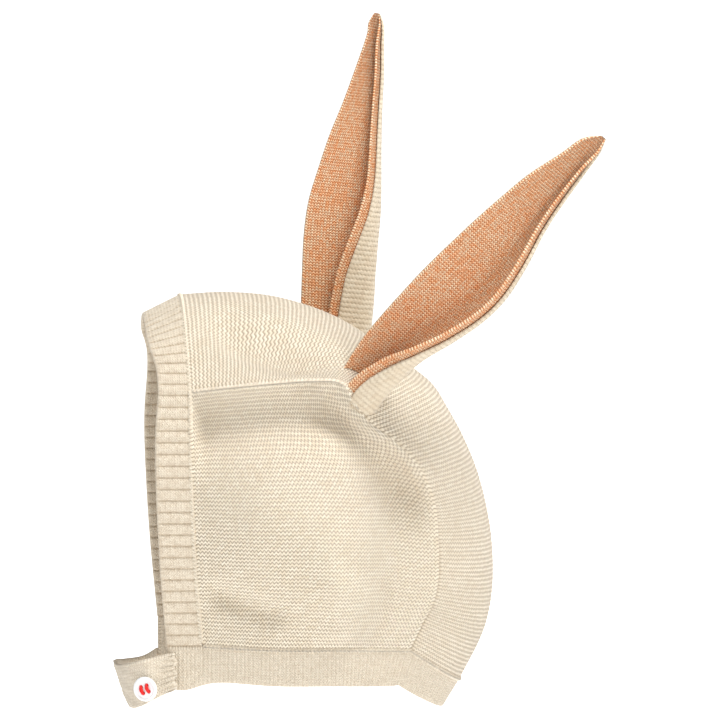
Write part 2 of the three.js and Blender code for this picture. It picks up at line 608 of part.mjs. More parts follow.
// The button and its two stitches sit on the strap, square to it.
const buttonShare = buttonFromEnd / strapRoute.getLength();
const buttonNormal = levelNormal(strapRoute, buttonShare);
const buttonSet = new THREE.Group();
const buttonUp = vec(0, 0, Math.cos(radians(buttonRoll)))
  .addScaledVector(strapRoute.getTangentAt(buttonShare).setZ(0).normalize(), Math.sin(radians(buttonRoll)));
const buttonSide = buttonUp.clone().cross(buttonNormal);
buttonSet.quaternion.setFromRotationMatrix(new THREE.Matrix4().makeBasis(buttonSide, buttonUp, buttonNormal));
buttonSet.position.copy(strapRoute.getPointAt(buttonShare)).add(vec(0, 0, -buttonDrop))
  .addScaledVector(buttonNormal, strapThickness / 2 + 2 * seamGap);
buttonSet.add(piece('button', buttonGeometry(), whitePlastic));
for (const [name, x] of [['button_stitch_front', -1], ['button_stitch_back', 1]]) {
  const stitch = piece(name, stitchGeometry(), redThread);
  stitch.position.x = (x * holeSpacing) / 2;
  buttonSet.add(stitch);
}
bonnet.add(buttonSet);

// The origin: on the inside of the crown, at the depth where the head touches.
let seatRow = 0;
while (crownPoint(seatRow, 0).y < seatBack && seatRow < lastRow) seatRow += 0.01;
bonnet.position.set(0, -seatBack, -(crownPoint(seatRow, 0).z - knitThickness));

const model = new THREE.Group();
model.add(bonnet);
export default model;
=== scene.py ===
import bpy
import numpy as np
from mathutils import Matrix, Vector


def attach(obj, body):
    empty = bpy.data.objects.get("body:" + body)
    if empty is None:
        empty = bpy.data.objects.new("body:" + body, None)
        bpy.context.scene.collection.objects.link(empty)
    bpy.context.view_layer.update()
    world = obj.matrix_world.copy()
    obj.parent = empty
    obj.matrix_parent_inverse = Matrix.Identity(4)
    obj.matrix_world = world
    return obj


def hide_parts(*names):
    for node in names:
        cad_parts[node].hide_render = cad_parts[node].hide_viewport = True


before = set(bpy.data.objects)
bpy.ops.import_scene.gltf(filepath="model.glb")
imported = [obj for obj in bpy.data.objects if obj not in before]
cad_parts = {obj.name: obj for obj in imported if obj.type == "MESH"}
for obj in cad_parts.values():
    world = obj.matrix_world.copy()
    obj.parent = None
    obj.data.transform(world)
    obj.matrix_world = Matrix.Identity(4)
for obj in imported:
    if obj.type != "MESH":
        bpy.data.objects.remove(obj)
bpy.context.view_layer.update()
print("frame loaded:", len(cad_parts), "nodes")

bonnet = {
    "depth": 162.0,  # brow edge to the back of the head
    "height": 195.0,
    "width": 112.0,
    "crownArc": 58.0,  # half the arc of the crown strip, in degrees
    "thickness": 2.2,
    "sideBulge": 7.0,
    "deepestDent": 8.0,
    "seatBack": 75.0,  # brow edge to the place where the head touches
}
knit = {
    "crownPitch": 2.1,  # garter ridges
    "sidePitch": 1.9,
    "ridgeDepth": 0.12,
    "stitchWidth": 1.75,
    "columnWidth": 1.5,  # stocking stitch
    "stepsPerRidge": 5,
}

# The crown strip from the brow over the head to the nape: the middle of the strip and its left seam.
crownRows = {
    "midBack": [0.108, 0.243, 0.390, 0.546, 0.679, 0.765, 0.823, 0.876, 0.919, 0.958, 0.989, 0.998,
                0.988, 0.961, 0.904],
    "midUp": [0.989, 0.993, 0.979, 0.934, 0.865, 0.811, 0.761, 0.701, 0.633, 0.548, 0.432, 0.321,
              0.232, 0.159, 0.066],
    "seamOut": [0.893, 0.946, 0.982, 1.000, 1.000, 1.000, 1.000, 0.982, 0.955, 0.920, 0.893, 0.839,
                0.786, 0.741, 0.679],
    "seamBack": [0.115, 0.223, 0.333, 0.442, 0.528, 0.568, 0.613, 0.687, 0.746, 0.791, 0.806, 0.811,
                 0.798, 0.773, 0.736],
    "seamUp": [0.792, 0.803, 0.812, 0.818, 0.812, 0.767, 0.716, 0.673, 0.618, 0.538, 0.450, 0.353,
               0.283, 0.239, 0.168],
}
lastRow = 14
earRow = 4  # the row whose seam is at the front of the ear

# A side panel's front edge from the crown seam down, and its bottom edge from front to back.
frontEdge = {"out": [0.893, 0.930, 0.850, 0.732], "back": [0.115, 0.117, 0.128, 0.148],
             "up": [0.792, 0.599, 0.394, 0.191]}
bottomEdge = {"out": [0.732, 0.830, 0.800, 0.679], "back": [0.148, 0.347, 0.545, 0.736],
              "up": [0.191, 0.184, 0.179, 0.168]}

# Soft dents (and swells, below 0): from u, v to u, v, how far they reach, and their depth.
sideDents = [
    (-0.05, 0.15, 0.66, 0.15, 0.145, 1.30),
    (0.80, 0.20, 0.86, 0.46, 0.12, 1.45),
    (0.87, 0.14, 0.93, 0.42, 0.05, -0.35),
    (0.80, 0.48, 0.76, 0.82, 0.09, 0.55),
    (0.08, 0.79, 0.30, 0.86, 0.05, 0.70),
    (0.60, 0.66, 0.74, 0.74, 0.05, 0.30),
    (0.30, 0.52, 0.52, 0.62, 0.20, -0.65),
    (0.56, 0.74, 0.60, 0.92, 0.10, -0.40),
]
crownDents = [
    (0.04, 0.78, 0.19, 0.89, 0.065, 1.15),
    (0.12, 0.74, 0.26, 0.86, 0.05, -0.30),
    (0.06, 0.18, 0.14, 0.12, 0.05, 0.40),
    (0.42, 0.30, 0.42, 0.70, 0.05, -0.20),
]


def column(values, at):  # a smooth curve through a table's column, read at places counted in rows
    v = np.asarray(values, float)
    v = np.concatenate([[2 * v[0] - v[1]], v, [2 * v[-1] - v[-2]]])
    at = np.asarray(at, float)
    i = np.clip(np.floor(at).astype(int), 0, len(v) - 4)
    f = at - i
    a, b, c, d = v[i], v[i + 1], v[i + 2], v[i + 3]
    return b + 0.5 * f * (c - a + f * (2 * a - 5 * b + 4 * c - d + f * (3 * (b - c) + d - a)))


def smooth(x, low, high):  # 0 below low, 1 above high, smooth between
    t = np.clip((x - low) / (high - low), 0, 1)
    return t * t * (3 - 2 * t)


def unit(v):
    return v / np.maximum(np.linalg.norm(v, axis=-1, keepdims=True), 1e-9)


def place(out, back, up):  # from shares of the bonnet's size to a point
    return np.stack(np.broadcast_arrays(out * bonnet["width"] / 2, back * bonnet["depth"],
                                        up * bonnet["height"]), -1).astype(float)


def dentDepth(dents, u, v):  # the sum of bell curves round each dent's line, faded out at the edges
    total = np.zeros(np.broadcast(u, v).shape)
    for fromU, fromV, toU, toV, reach, depth in dents:
        du, dv = toU - fromU, toV - fromV
        along = np.clip(((u - fromU) * du + (v - fromV) * dv) / (du * du + dv * dv), 0, 1)
        off = np.hypot(u - fromU - along * du, v - fromV - along * dv) / reach
        total = total + depth * np.exp(-off * off)
    fade = smooth(np.minimum(u, 1 - u), 0, 0.10) * smooth(np.minimum(v, 1 - v), 0, 0.07)
    return total * fade * bonnet["deepestDent"]


def seamPoint(row):
    return place(column(crownRows["seamOut"], row), column(crownRows["seamBack"], row),
                 column(crownRows["seamUp"], row))


def crownPoint(row, across):  # an arc from seam to seam over the middle line; across is 1 at the left seam
    row, across = np.broadcast_arrays(row, across)
    arc = np.radians(bonnet["crownArc"])
    seam = seamPoint(row)
    middle = place(0.0, column(crownRows["midBack"], row), column(crownRows["midUp"], row))
    rise = ((np.cos(across * arc) - np.cos(arc)) / (1 - np.cos(arc)))[..., None]
    point = seam + (middle - seam) * rise
    point[..., 0] = seam[..., 0] * np.sin(across * arc) / np.sin(arc)
    inward = (middle - seam) * np.array([0, 1, 1])
    dents = dentDepth(crownDents, row / lastRow, (across + 1) / 2)
    return point - unit(inward) * dents[..., None]


def edgePoint(table, share):
    at = np.asarray(share) * 3
    return place(column(table["out"], at), column(table["back"], at), column(table["up"], at))


def sidePoint(u, v):  # blended between four edges (a Coons patch), swollen by a sine, dented
    u, v = np.broadcast_arrays(u, v)
    a, b = u[..., None], v[..., None]
    top, bottom = seamPoint(u * earRow), edgePoint(bottomEdge, u)
    front, back = edgePoint(frontEdge, v), seamPoint(earRow + (lastRow - earRow) * v)
    corners = [seamPoint(np.float64(0)), seamPoint(np.float64(earRow)), edgePoint(frontEdge, 1.0),
               seamPoint(np.float64(lastRow))]
    point = top * (1 - b) + bottom * b + front * (1 - a) + back * a
    point -= (1 - a) * (1 - b) * corners[0] + a * (1 - b) * corners[1]
    point -= (1 - a) * b * corners[2] + a * b * corners[3]
    bulge = bonnet["sideBulge"] * np.sin(np.pi * u) * np.sin(np.pi * v)
    point[..., 0] += bulge - dentDepth(sideDents, u, v)
    return point


seatRows = np.linspace(0, 6, 1201)
seatLine = crownPoint(seatRows, np.zeros(1201))
seatUp = float(np.interp(bonnet["seatBack"], seatLine[:, 1], seatLine[:, 2])) - bonnet["thickness"]
origin = np.array([0.0, bonnet["seatBack"], seatUp])


def lengths(points):  # distances along a line of points, from its start
    steps = np.linalg.norm(np.diff(points, axis=0), axis=-1)
    return np.concatenate([[0.0], np.cumsum(steps)])


def resample(points, at):  # the points at given distances along a line
    s = lengths(points)
    return np.stack([np.interp(at, s, points[:, k]) for k in range(3)], -1)


def surfaceNormals(grid):  # rows' direction times columns' direction
    down = np.gradient(grid, axis=0)
    along = np.gradient(grid, axis=1)
    return unit(np.cross(down, along))


# A closed piece of cloth from a grid: its outer side at top over the middle layer, its inner side at
# bottom under it, both edges rounded by an arc, and both ends closed by shrinking rings.
def clothMesh(name, outside, normals, thickness, top, bottom, uv, body="root"):
    rows, columns = outside.shape[:2]
    half = np.broadcast_to(np.asarray(thickness, float) / 2, (rows, columns))[..., None]
    middle = outside - normals * half
    turns = np.radians([45.0, 90.0, 135.0])

    def border(j, inner):  # three points round one long edge
        edge = unit(middle[:, j] - middle[:, inner])
        arcs = [middle[:, j] + edge * half[:, j] * np.sin(t) + normals[:, j] * half[:, j] * np.cos(t)
                for t in turns]
        return np.stack(arcs, 1)

    right = border(columns - 1, columns - 2)
    left = border(0, 1)[:, ::-1]
    outer = middle + normals * (half + top[..., None])
    inner = middle - normals * (half + bottom[..., None])
    ring = np.concatenate([outer, right, inner[:, ::-1], left], 1)
    centre = np.concatenate([middle, np.repeat(middle[:, -1:], 3, 1), middle[:, ::-1],
                             np.repeat(middle[:, :1], 3, 1)], 1)
    ringUv = np.concatenate([uv, np.repeat(uv[:, -1:], 3, 1), uv[:, ::-1], np.repeat(uv[:, :1], 3, 1)], 1)
    ringHalf = np.concatenate([half, np.repeat(half[:, -1:], 3, 1), half[:, ::-1],
                               np.repeat(half[:, :1], 3, 1)], 1)

    def endRings(i, inward):
        ahead = unit(centre[i] - centre[inward])
        return [centre[i] + (ring[i] - centre[i]) * np.cos(t) + ahead * ringHalf[i] * np.sin(t)
                for t in np.radians([30.0, 58.0, 82.0])]

    starts = endRings(0, 1)[::-1]
    ends = endRings(rows - 1, rows - 2)
    allRings = np.concatenate([np.stack(starts), ring, np.stack(ends)], 0)
    allUv = np.concatenate([np.stack([ringUv[0]] * 3), ringUv, np.stack([ringUv[-1]] * 3)], 0)
    count, size = allRings.shape[:2]
    index = np.arange(count * size).reshape(count, size)
    a, b = index[:-1], index[1:]
    quads = np.stack([a, b, np.roll(b, -1, 1), np.roll(a, -1, 1)], -1).reshape(-1, 4)

    def lid(ids, flip):  # closes an end between its outer and inner points
        outerIds, innerIds = ids[:columns], ids[columns + 3:2 * columns + 3][::-1]
        strip = np.stack([outerIds[:-1], outerIds[1:], innerIds[1:], innerIds[:-1]], -1)
        caps = [list(ids[columns - 1:columns + 4]), list(ids[2 * columns + 2:]) + [ids[0]]]
        faces = strip.tolist() + [[int(k) for k in cap] for cap in caps]
        return [face[::-1] for face in faces] if flip else faces

    faces = quads.tolist() + lid(index[0], False) + lid(index[-1], True)
    return makePiece(name, allRings.reshape(-1, 3), faces, allUv.reshape(-1, 2), body)


def makePiece(name, points, faces, uv=None, body="root"):  # a mesh object in metres from the row's origin
    mesh = bpy.data.meshes.new(name)
    mesh.from_pydata(((points - origin) * 0.001).tolist(), [], faces)
    mesh.polygons.foreach_set("use_smooth", np.ones(len(mesh.polygons), bool))
    if uv is not None:
        layer = mesh.uv_layers.new(name="stitches")
        corner = np.zeros(len(mesh.loops), np.int32)
        mesh.loops.foreach_get("vertex_index", corner)
        layer.data.foreach_set("uv", uv[corner].astype(np.float32).ravel())
    mesh.update()
    piece = bpy.data.objects.new(name, mesh)
    bpy.context.scene.collection.objects.link(piece)
    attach(piece, body)
    return piece


def ridge(v):  # a row of purl bumps seen from its end: round on top, with a narrow groove at whole numbers
    return np.abs(np.sin(np.pi * v)) ** 0.7


def garterPanel(name, surface, rowLength, pitch, columnCount, inset):
    # surface(row share, column share) is sampled a few times a ridge, and sunk by the ridge's profile
    ridges = int(round(rowLength / pitch))
    v = np.linspace(inset[0], 1 - inset[0], ridges * knit["stepsPerRidge"] + 1)[:, None]
    u = np.linspace(inset[1], 1 - inset[1], columnCount + 1)[None, :]
    grid = surface(*np.broadcast_arrays(v, u))
    normals = surfaceNormals(grid)
    count = np.linspace(0, ridges, grid.shape[0])[:, None] * np.ones((1, columnCount + 1))
    middle = grid[grid.shape[0] // 2]
    across = lengths(middle)[None, :] / knit["stitchWidth"] * np.ones((grid.shape[0], 1))
    depth = knit["ridgeDepth"]
    top = depth * (ridge(count) - 1)
    bottom = depth * (ridge(count + 0.5) - 1)
    uv = np.stack([across, count], -1)
    return clothMesh(name, grid, normals, bonnet["thickness"], top, bottom, uv)


# Crown strip: rows run across it, even along its middle line.
middleLine = crownPoint(np.linspace(0, lastRow, 1401), np.zeros(1401))
middleAt = lengths(middleLine)
crownLength = middleAt[-1]


def crownSurface(v, u):
    row = np.interp(v, middleAt / crownLength, np.linspace(0, lastRow, 1401))
    return crownPoint(row, 1 - 2 * u)


crownStrip = garterPanel("crownStrip", crownSurface, crownLength, knit["crownPitch"], 48, (0.004, 0.009))

# Side panels: rows run level from front to back, even in height and a little fanned out at the back.
sideFan = 0.12
heightSteps = np.linspace(0, 1, 241)


def sideSurface(v, u):
    share = v ** (1 - sideFan * smooth(u, 0.4, 1.0))
    down = np.empty_like(v)
    for j in range(v.shape[1]):  # one column of the grid at a time
        up = sidePoint(np.full(241, u[0, j]), heightSteps)[:, 2]
        fall = np.maximum.accumulate((up[0] - up) / (up[0] - up[-1]))
        down[:, j] = np.interp(share[:, j], fall + heightSteps * 1e-6, heightSteps)
    return sidePoint(u, down)


def mirror(points):
    return points * np.array([-1.0, 1.0, 1.0])


def rightSurface(v, u):
    return mirror(sideSurface(v, u[:, ::-1]))


sideLeft = garterPanel("sidePanelLeft", sideSurface, 122.0, knit["sidePitch"], 54, (0.008, 0.011))
sideRight = garterPanel("sidePanelRight", rightSurface, 122.0, knit["sidePitch"], 54, (0.008, 0.011))
print("panels made")

# Face band: ribs square to its edge, leaning down over the forehead.
bands = {
    "faceWidth": 16.0,
    "browWidth": 20.0,
    "templeTuck": 2.0,
    "browLean": 26.0,
    "pullIn": 7.0,
    "neckWidth": 17.5,
    "neckFront": 15.5,
    "neckNape": 15.5,
    "frontDroop": 5.5,
    "napeLean": 35.0,
    "thickness": 2.6,
    "ribPitch": 5.3,
    "ribDepth": 0.8,
    "fineRib": 1.9,
    "fineDepth": 0.32,
}


def bothSides(leftEdge, middleEdge):
    return np.concatenate([leftEdge, middleEdge[1:-1], mirror(leftEdge)[::-1]])


faceSeam = bothSides(edgePoint(frontEdge, np.linspace(1, 0, 240)),
                     crownPoint(np.zeros(240), np.linspace(1, -1, 240)))


def faceBandPoint(seam, across):
    up = seam[..., 2] / bonnet["height"]
    brow = smooth(up, 0.83, 0.99)
    temple = np.exp(-(((up - 0.81) / 0.09) ** 2))
    lean = np.radians(bands["browLean"] * brow)
    pull = np.radians(bands["pullIn"]) * seam[..., 0] / (bonnet["width"] / 2)
    width = bands["faceWidth"] + (bands["browWidth"] - bands["faceWidth"]) * brow
    width = width - bands["templeTuck"] * temple
    ahead = np.stack([-np.sin(pull), -np.cos(pull) * np.cos(lean), -np.sin(lean)], -1)
    return seam + unit(ahead) * (across * width)[..., None]


def groove(p, width):  # 0 in a narrow groove at each whole number, 1 between them
    off = np.abs(p - np.round(p))
    return 1 - np.exp(-((off / width) ** 2))


ribParts = np.array([0.0, 0.05, 0.1, 0.16, 0.25, 0.38, 0.5, 0.62, 0.75, 0.84, 0.9, 0.95])
seamLength = lengths(faceSeam)[-1]
ribCount = int(round(seamLength / bands["ribPitch"]))
ribAt = np.append((np.arange(ribCount)[:, None] + ribParts).ravel(), ribCount)
seamFine = resample(faceSeam, ribAt / ribCount * seamLength)
bandAcross = np.linspace(0.06, 0.93, 13)
faceShare = bandAcross[None, :] * np.ones((len(ribAt), 1))
faceGrid = faceBandPoint(seamFine[:, None] * np.ones((1, 13, 1)), faceShare)
ribGrid = ribAt[:, None] * np.ones((1, 13))
faceUv = np.stack([ribGrid * 4, faceShare * bands["faceWidth"] / 1.2], -1)
ribTop = bands["ribDepth"] * (groove(ribGrid, 0.085) - 1) - 0.18 * np.cos(2 * np.pi * ribGrid)
faceBand = clothMesh("faceBand", faceGrid, surfaceNormals(faceGrid), bands["thickness"], ribTop - 0.1,
                     bands["ribDepth"] * (groove(ribGrid, 0.085) - 1), faceUv)

# Neck band: fine ribs, from under the end of the face band round the nape.
bandEnd = faceBandPoint(edgePoint(frontEdge, 1.0)[None] * np.ones((40, 1)), np.linspace(1, 0, 40))
neckSeam = bothSides(np.concatenate([bandEnd, edgePoint(bottomEdge, np.linspace(0, 1, 200))[1:]]),
                     crownPoint(np.full(200, float(lastRow)), np.linspace(1, -1, 200)))


def neckBandPoint(seam, across):
    y = seam[..., 1] / bonnet["depth"]
    side = bands["neckFront"] + (bands["neckWidth"] - bands["neckFront"]) * smooth(y, 0, 0.4)
    width = side + (bands["neckNape"] - side) * smooth(y, 0.7, 0.9)
    width = width + bands["frontDroop"] * np.exp(-(((y - 0.09) / 0.07) ** 2))
    lean = np.radians(bands["napeLean"]) * smooth(y, 0.5, 1.0)
    pull = np.radians(bands["pullIn"]) * seam[..., 0] / (bonnet["width"] / 2)
    down = np.stack([-np.sin(pull), -np.sin(lean), -np.cos(lean) * np.cos(pull)], -1)
    return seam + unit(down) * (across * width)[..., None]


neckLength = lengths(neckSeam)[-1]
neckRibs = int(round(neckLength / bands["fineRib"]))
neckAt = np.linspace(0, neckRibs, neckRibs * 6 + 1)
inside = 1.3 / neckLength
neckFine = resample(neckSeam, (inside + neckAt / neckRibs * (1 - 2 * inside)) * neckLength)
neckAcross = np.linspace(0.93, 0.07, 12)
neckShare = neckAcross[None] * np.ones((len(neckAt), 1))
neckGrid = neckBandPoint(neckFine[:, None] * np.ones((1, 12, 1)), neckShare)
neckRib = neckAt[:, None] * np.ones((1, 12))
neckTop = bands["fineDepth"] * (groove(neckRib, 0.2) - 1)
neckUv = np.stack([neckRib * 1.5, neckAcross[None] * 17.0 / 1.3 * np.ones((len(neckAt), 1))], -1)
neckNormals = surfaceNormals(neckGrid)
neckBand = clothMesh("neckBand", neckGrid, neckNormals, bands["thickness"], neckTop, neckTop, neckUv)
print("bands made")

# Chin strap: a ribbon round the chin along a centripetal Catmull-Rom curve.
strap = {
    "width": 21.0,
    "thickness": 2.4,
    "reach": 18.5,
    "drop": 16.0,
    "tilt": 18.0,
    "lap": 4.0,
    "tabReach": 15.0,
    "tabWidth": 14.0,
    "tabThickness": 2.0,
}
bandFront = neckBandPoint(neckSeam[0], np.float64(0.0))
bandLow = bandFront - np.array([0, 0, bands["neckFront"]])
bandBack = neckBandPoint(edgePoint(frontEdge, 1.0), np.float64(0.0))
strapStart = bandFront + (bandBack - bandFront) * strap["lap"] / bands["faceWidth"]
clearance = 0.3 + strap["thickness"] / 2
frontX = bandFront[0]
strapRoute = np.array([
    (strapStart[0] + clearance, (bandFront[1] - strapStart[1]) / strap["reach"], 0.33),
    (frontX + clearance, 0.0, 0.37),
    (frontX + 0.7 * clearance, 0.48, 0.50),
    (frontX * 0.84, 0.82, 0.70),
    (frontX * 0.45, 0.96, 0.90),
    (0.0, 1.0, 1.0),
    (-frontX * 0.45, 0.94, 1.18),
    (-frontX * 0.82, 0.74, 1.36),
    (-frontX * 0.97, 0.36, 1.36),
    (bands["thickness"] / 2 - frontX, 0.3 / strap["reach"], 1.12),
])
strapLevel = (bandLow[2] + bandFront[2]) / 2
strapPoints = np.stack([strapRoute[:, 0], bandFront[1] - strapRoute[:, 1] * strap["reach"],
                        strapLevel - strapRoute[:, 2] * strap["drop"]], -1)


def smoothRoute(points, steps=60):  # each span's cubic has end slopes from its uneven neighbours
    p = np.concatenate([[2 * points[0] - points[1]], points, [2 * points[-1] - points[-2]]])
    gap = np.linalg.norm(np.diff(p, axis=0), axis=1) ** 0.5
    t = np.linspace(0, 1, steps, endpoint=False)[:, None]
    spans = []
    for k in range(len(points) - 1):
        a, b, c, d = p[k:k + 4]
        g0, g1, g2 = gap[k:k + 3]
        m1 = ((b - a) / g0 - (c - a) / (g0 + g1) + (c - b) / g1) * g1
        m2 = ((c - b) / g1 - (d - b) / (g1 + g2) + (d - c) / g2) * g1
        spans.append(b + m1 * t + (3 * (c - b) - 2 * m1 - m2) * t ** 2 + (2 * (b - c) + m1 + m2) * t ** 3)
    return np.concatenate(spans + [points[-1:]])


strapLine = smoothRoute(strapPoints)
strapLength = lengths(strapLine)[-1]


def ribbon(start, stop, width, depth, stations, columns):
    # across the ribbon from top to bottom, tilted in most at the middle of the chin
    s = np.linspace(start, stop, stations)
    line = resample(strapLine, s)
    ahead = unit(np.gradient(line, axis=0))
    level = unit(np.stack([-ahead[:, 1], ahead[:, 0], 0 * ahead[:, 0]], -1))
    tilt = np.radians(strap["tilt"]) * np.sin(np.pi * np.clip(s / strapLength, 0, 1))
    below = np.linspace(-0.5, 0.5, columns) * width
    fall = -below[None, :] * np.cos(tilt)[:, None]
    grid = line[:, None] + fall[..., None] * np.array([0, 0, 1.0])
    grid = grid - level[:, None] * (below[None, :] * np.sin(tilt)[:, None])[..., None]
    normals = level[:, None] * np.ones((1, columns, 1))
    return grid - normals * depth, normals, s, below


strapGrid, strapNormals, strapAt, strapBelow = ribbon(1.0, strapLength - 0.4, strap["width"] - 2.2,
                                                      -strap["thickness"] / 2, 260, 61)
alongS, acrossS = strapAt[:, None] * np.ones((1, 61)), strapBelow[None] * np.ones((260, 1))
gathered = 1 - smooth(strapAt, 0, 18)  # the end under the button is narrower, with a wavy edge and pleats
strapGrid += (strapGrid[:, :1] - strapGrid) * (0.16 * gathered)[:, None, None]
strapGrid[..., 1] += 0.8 * np.sin(2 * np.pi * acrossS / 6.5 + 0.6) * np.exp(-alongS / 4)
fanned = acrossS / (1 + 0.03 * alongS)
pleats = 0.5 * np.exp(-((alongS / 8.0) ** 2)) * (np.cos(2 * np.pi * fanned / 2.6) - 0.5)
puckers = 0.35 * np.sin(0.45 * alongS + 0.5 * acrossS) * np.sin(0.33 * acrossS - 0.21 * alongS + 1.0)
softRoll = -0.5 * (np.abs(acrossS) / (strap["width"] / 2)) ** 4
strapTop = pleats + puckers * smooth(alongS, 0, 6) - 0.2 + softRoll
strapUv = np.stack([acrossS / knit["columnWidth"], alongS / 1.25], -1)
strapBottom = np.zeros_like(softRoll)
strapThick = strap["thickness"]
chinStrap = clothMesh("chinStrap", strapGrid, strapNormals, strapThick, strapTop, strapBottom, strapUv)
tabDepth = strap["thickness"] / 2 + 0.6
tabGrid, tabNormals, tabAt, tabBelow = ribbon(strap["lap"] + 1.6, strap["lap"] + strap["tabReach"] - 1.0,
                                              strap["tabWidth"] - 2.0, tabDepth, 30, 17)
tabUv = np.stack([tabBelow[None] / 1.5 * np.ones((30, 1)), tabAt[:, None] / 1.25 * np.ones((1, 17))], -1)
buttonTab = clothMesh("buttonTab", tabGrid, tabNormals, strap["tabThickness"], np.zeros((30, 17)),
                      np.zeros((30, 17)), tabUv)
print("strap made")

# Ears: each a leaf rolled along its length. Rows run from root to tip.
ears = {
    "length": 160.0,
    "width": 54.0,
    "shell": 1.6,
    "lining": 1.3,
    "gap": 0.3,
    "liningInset": 0.6,
    "thinning": 0.3,
    "lowest": -8.0,
    "lip": 4.5,  # of lining past the folded edge of the shell
    "ridgePitch": 2.3,
    "ridgeDepth": 0.09,
}
leftEar = {
    "at": [-0.10, 0.00, 0.10, 0.19, 0.29, 0.39, 0.48, 0.58, 0.68, 0.77, 0.87, 0.94, 0.98],
    "width": [0.86, 0.88, 0.88, 0.88, 0.91, 0.94, 0.92, 0.80, 0.63, 0.52, 0.37, 0.26, 0.07],
    "bendFrom": [0.36, 0.32, 0.32, 0.28, 0.37, 0.43, 0.43, 0.45, 0.48, 0.46, 0.41, 0.34, 0.34],
    "bendTo": [0.76, 0.78, 0.88, 1.00, 1.00, 1.00, 1.00, 1.00, 1.00, 1.00, 1.00, 1.00, 1.00],
    "lip": [0, 0, 4, 16, 30, 36, 40, 40, 38, 38, 46, 80, 84],
    "fore": [0.26, 0.32, 0.37, 0.39, 0.40, 0.40, 0.385, 0.363, 0.328, 0.287, 0.205, 0.155, 0.060],
    "out": [-0.22, -0.22, -0.20, -0.14, -0.08, -0.04, -0.02, 0.00, 0.00, 0.00, -0.01, -0.02, -0.02],
    "leanBack": 40.7,
    "leanLeft": 10.0,
    "root": seamPoint(np.float64(earRow + 1)) + np.array([0, 7.5, 0]),
}
rightEar = {
    "at": [-0.12, 0.00, 0.14, 0.23, 0.33, 0.43, 0.53, 0.63, 0.73, 0.83, 0.93, 0.97, 1.00],
    "width": [1.06, 1.10, 1.12, 1.10, 1.05, 0.95, 0.80, 0.66, 0.52, 0.41, 0.28, 0.22, 0.08],
    "bendFrom": [0.47, 0.46, 0.46, 0.46, 0.47, 0.50, 0.50, 0.49, 0.44, 0.34, 0.15, 0.12, 0.12],
    "bendTo": [0.73, 0.73, 0.76, 0.80, 0.87, 0.94, 1.00, 1.00, 1.00, 1.00, 1.00, 1.00, 1.00],
    "lip": [0, 0, 0, 2, 8, 10, 8, 12, 15, 22, 40, 60, 80],
    "fore": [0.34, 0.36, 0.385, 0.405, 0.422, 0.412, 0.355, 0.287, 0.198, 0.121, 0.050, 0.045, 0.010],
    "out": [-0.04, -0.03, 0.00, 0.02, 0.03, 0.04, 0.04, 0.04, 0.03, 0.02, 0.01, 0.00, 0.00],
    "leanBack": 6.2,
    "leanLeft": -3.0,
    "root": mirror(seamPoint(np.float64(earRow + 1))) + np.array([0, 4.8, 10.5]),
}
walkSteps = 240


def earSections(ear, row, columns, lip=0.0):
    # walks each section's turning line in small steps and adds them up, and stops a lip short of its end
    k = (np.arange(walkSteps) + 0.5) / walkSteps
    read = {name: column(ear[name], row)[:, None] for name in ("at", "width", "bendFrom", "bendTo", "lip",
                                                               "fore", "out")}
    turned = np.clip((k - read["bendFrom"]) / (read["bendTo"] - read["bendFrom"]), 0, 1)
    heading = np.radians(180 + (read["lip"] - 180) * turned)
    step = read["width"] * ears["width"] / walkSteps
    zero = np.zeros((len(row), 1))
    forward = np.concatenate([zero, np.cumsum(np.cos(heading) * step, 1)], 1) + read["fore"] * ears["width"]
    left = np.concatenate([zero, np.cumsum(np.sin(heading) * step, 1)], 1) + read["out"] * ears["width"]
    stop = 1 - np.clip(lip / (read["width"] * ears["width"]), 0, 0.25)
    pick = np.linspace(0, walkSteps, columns)[None] * stop
    low = np.minimum(pick.astype(int), walkSteps - 1)
    f = pick - low
    forward = np.take_along_axis(forward, low, 1) * (1 - f) + np.take_along_axis(forward, low + 1, 1) * f
    left = np.take_along_axis(left, low, 1) * (1 - f) + np.take_along_axis(left, low + 1, 1) * f
    up = read["at"] * ears["length"] * np.ones((1, columns))
    return np.stack([left, -forward, up], -1)


def earTurned(ear, points):  # leaned outward, then back, then set on its root
    a, b = np.radians(ear["leanLeft"]), -np.radians(ear["leanBack"])
    aboutY = np.array([[np.cos(a), 0, np.sin(a)], [0, 1, 0], [-np.sin(a), 0, np.cos(a)]])
    aboutX = np.array([[1, 0, 0], [0, np.cos(b), -np.sin(b)], [0, np.sin(b), np.cos(b)]])
    return points @ (aboutX @ aboutY).T + ear["root"]


# The bonnet's outer skin as a cloud of points, to end the ears where they meet it.
skinRows, skinColumns = np.meshgrid(np.linspace(0, 1, 150), np.linspace(0, 1, 40), indexing="ij")
skinGrids = [crownSurface(skinRows, skinColumns)]
sideV, sideU = np.meshgrid(np.linspace(0, 1, 60), np.linspace(0, 1, 60), indexing="ij")
skinGrids += [sidePoint(sideU, sideV), mirror(sidePoint(sideU[:, ::-1], sideV))]
skinPoints = np.concatenate([g.reshape(-1, 3) for g in skinGrids])
skinNormals = np.concatenate([surfaceNormals(g).reshape(-1, 3) for g in skinGrids])


def heightOverSkin(points):  # how far each point stands out from the nearest point of the skin
    flat = points.reshape(-1, 3)
    near = np.concatenate([np.argmin(((part[:, None] - skinPoints[None]) ** 2).sum(-1), 1)
                           for part in np.array_split(flat, max(1, len(flat) // 400))])
    return ((flat - skinPoints[near]) * skinNormals[near]).sum(-1).reshape(points.shape[:-1])


def earRows(ear):
    fineRow = np.linspace(0, len(ear["at"]) - 1, 601)
    return fineRow, column(ear["at"], fineRow) * ears["length"]


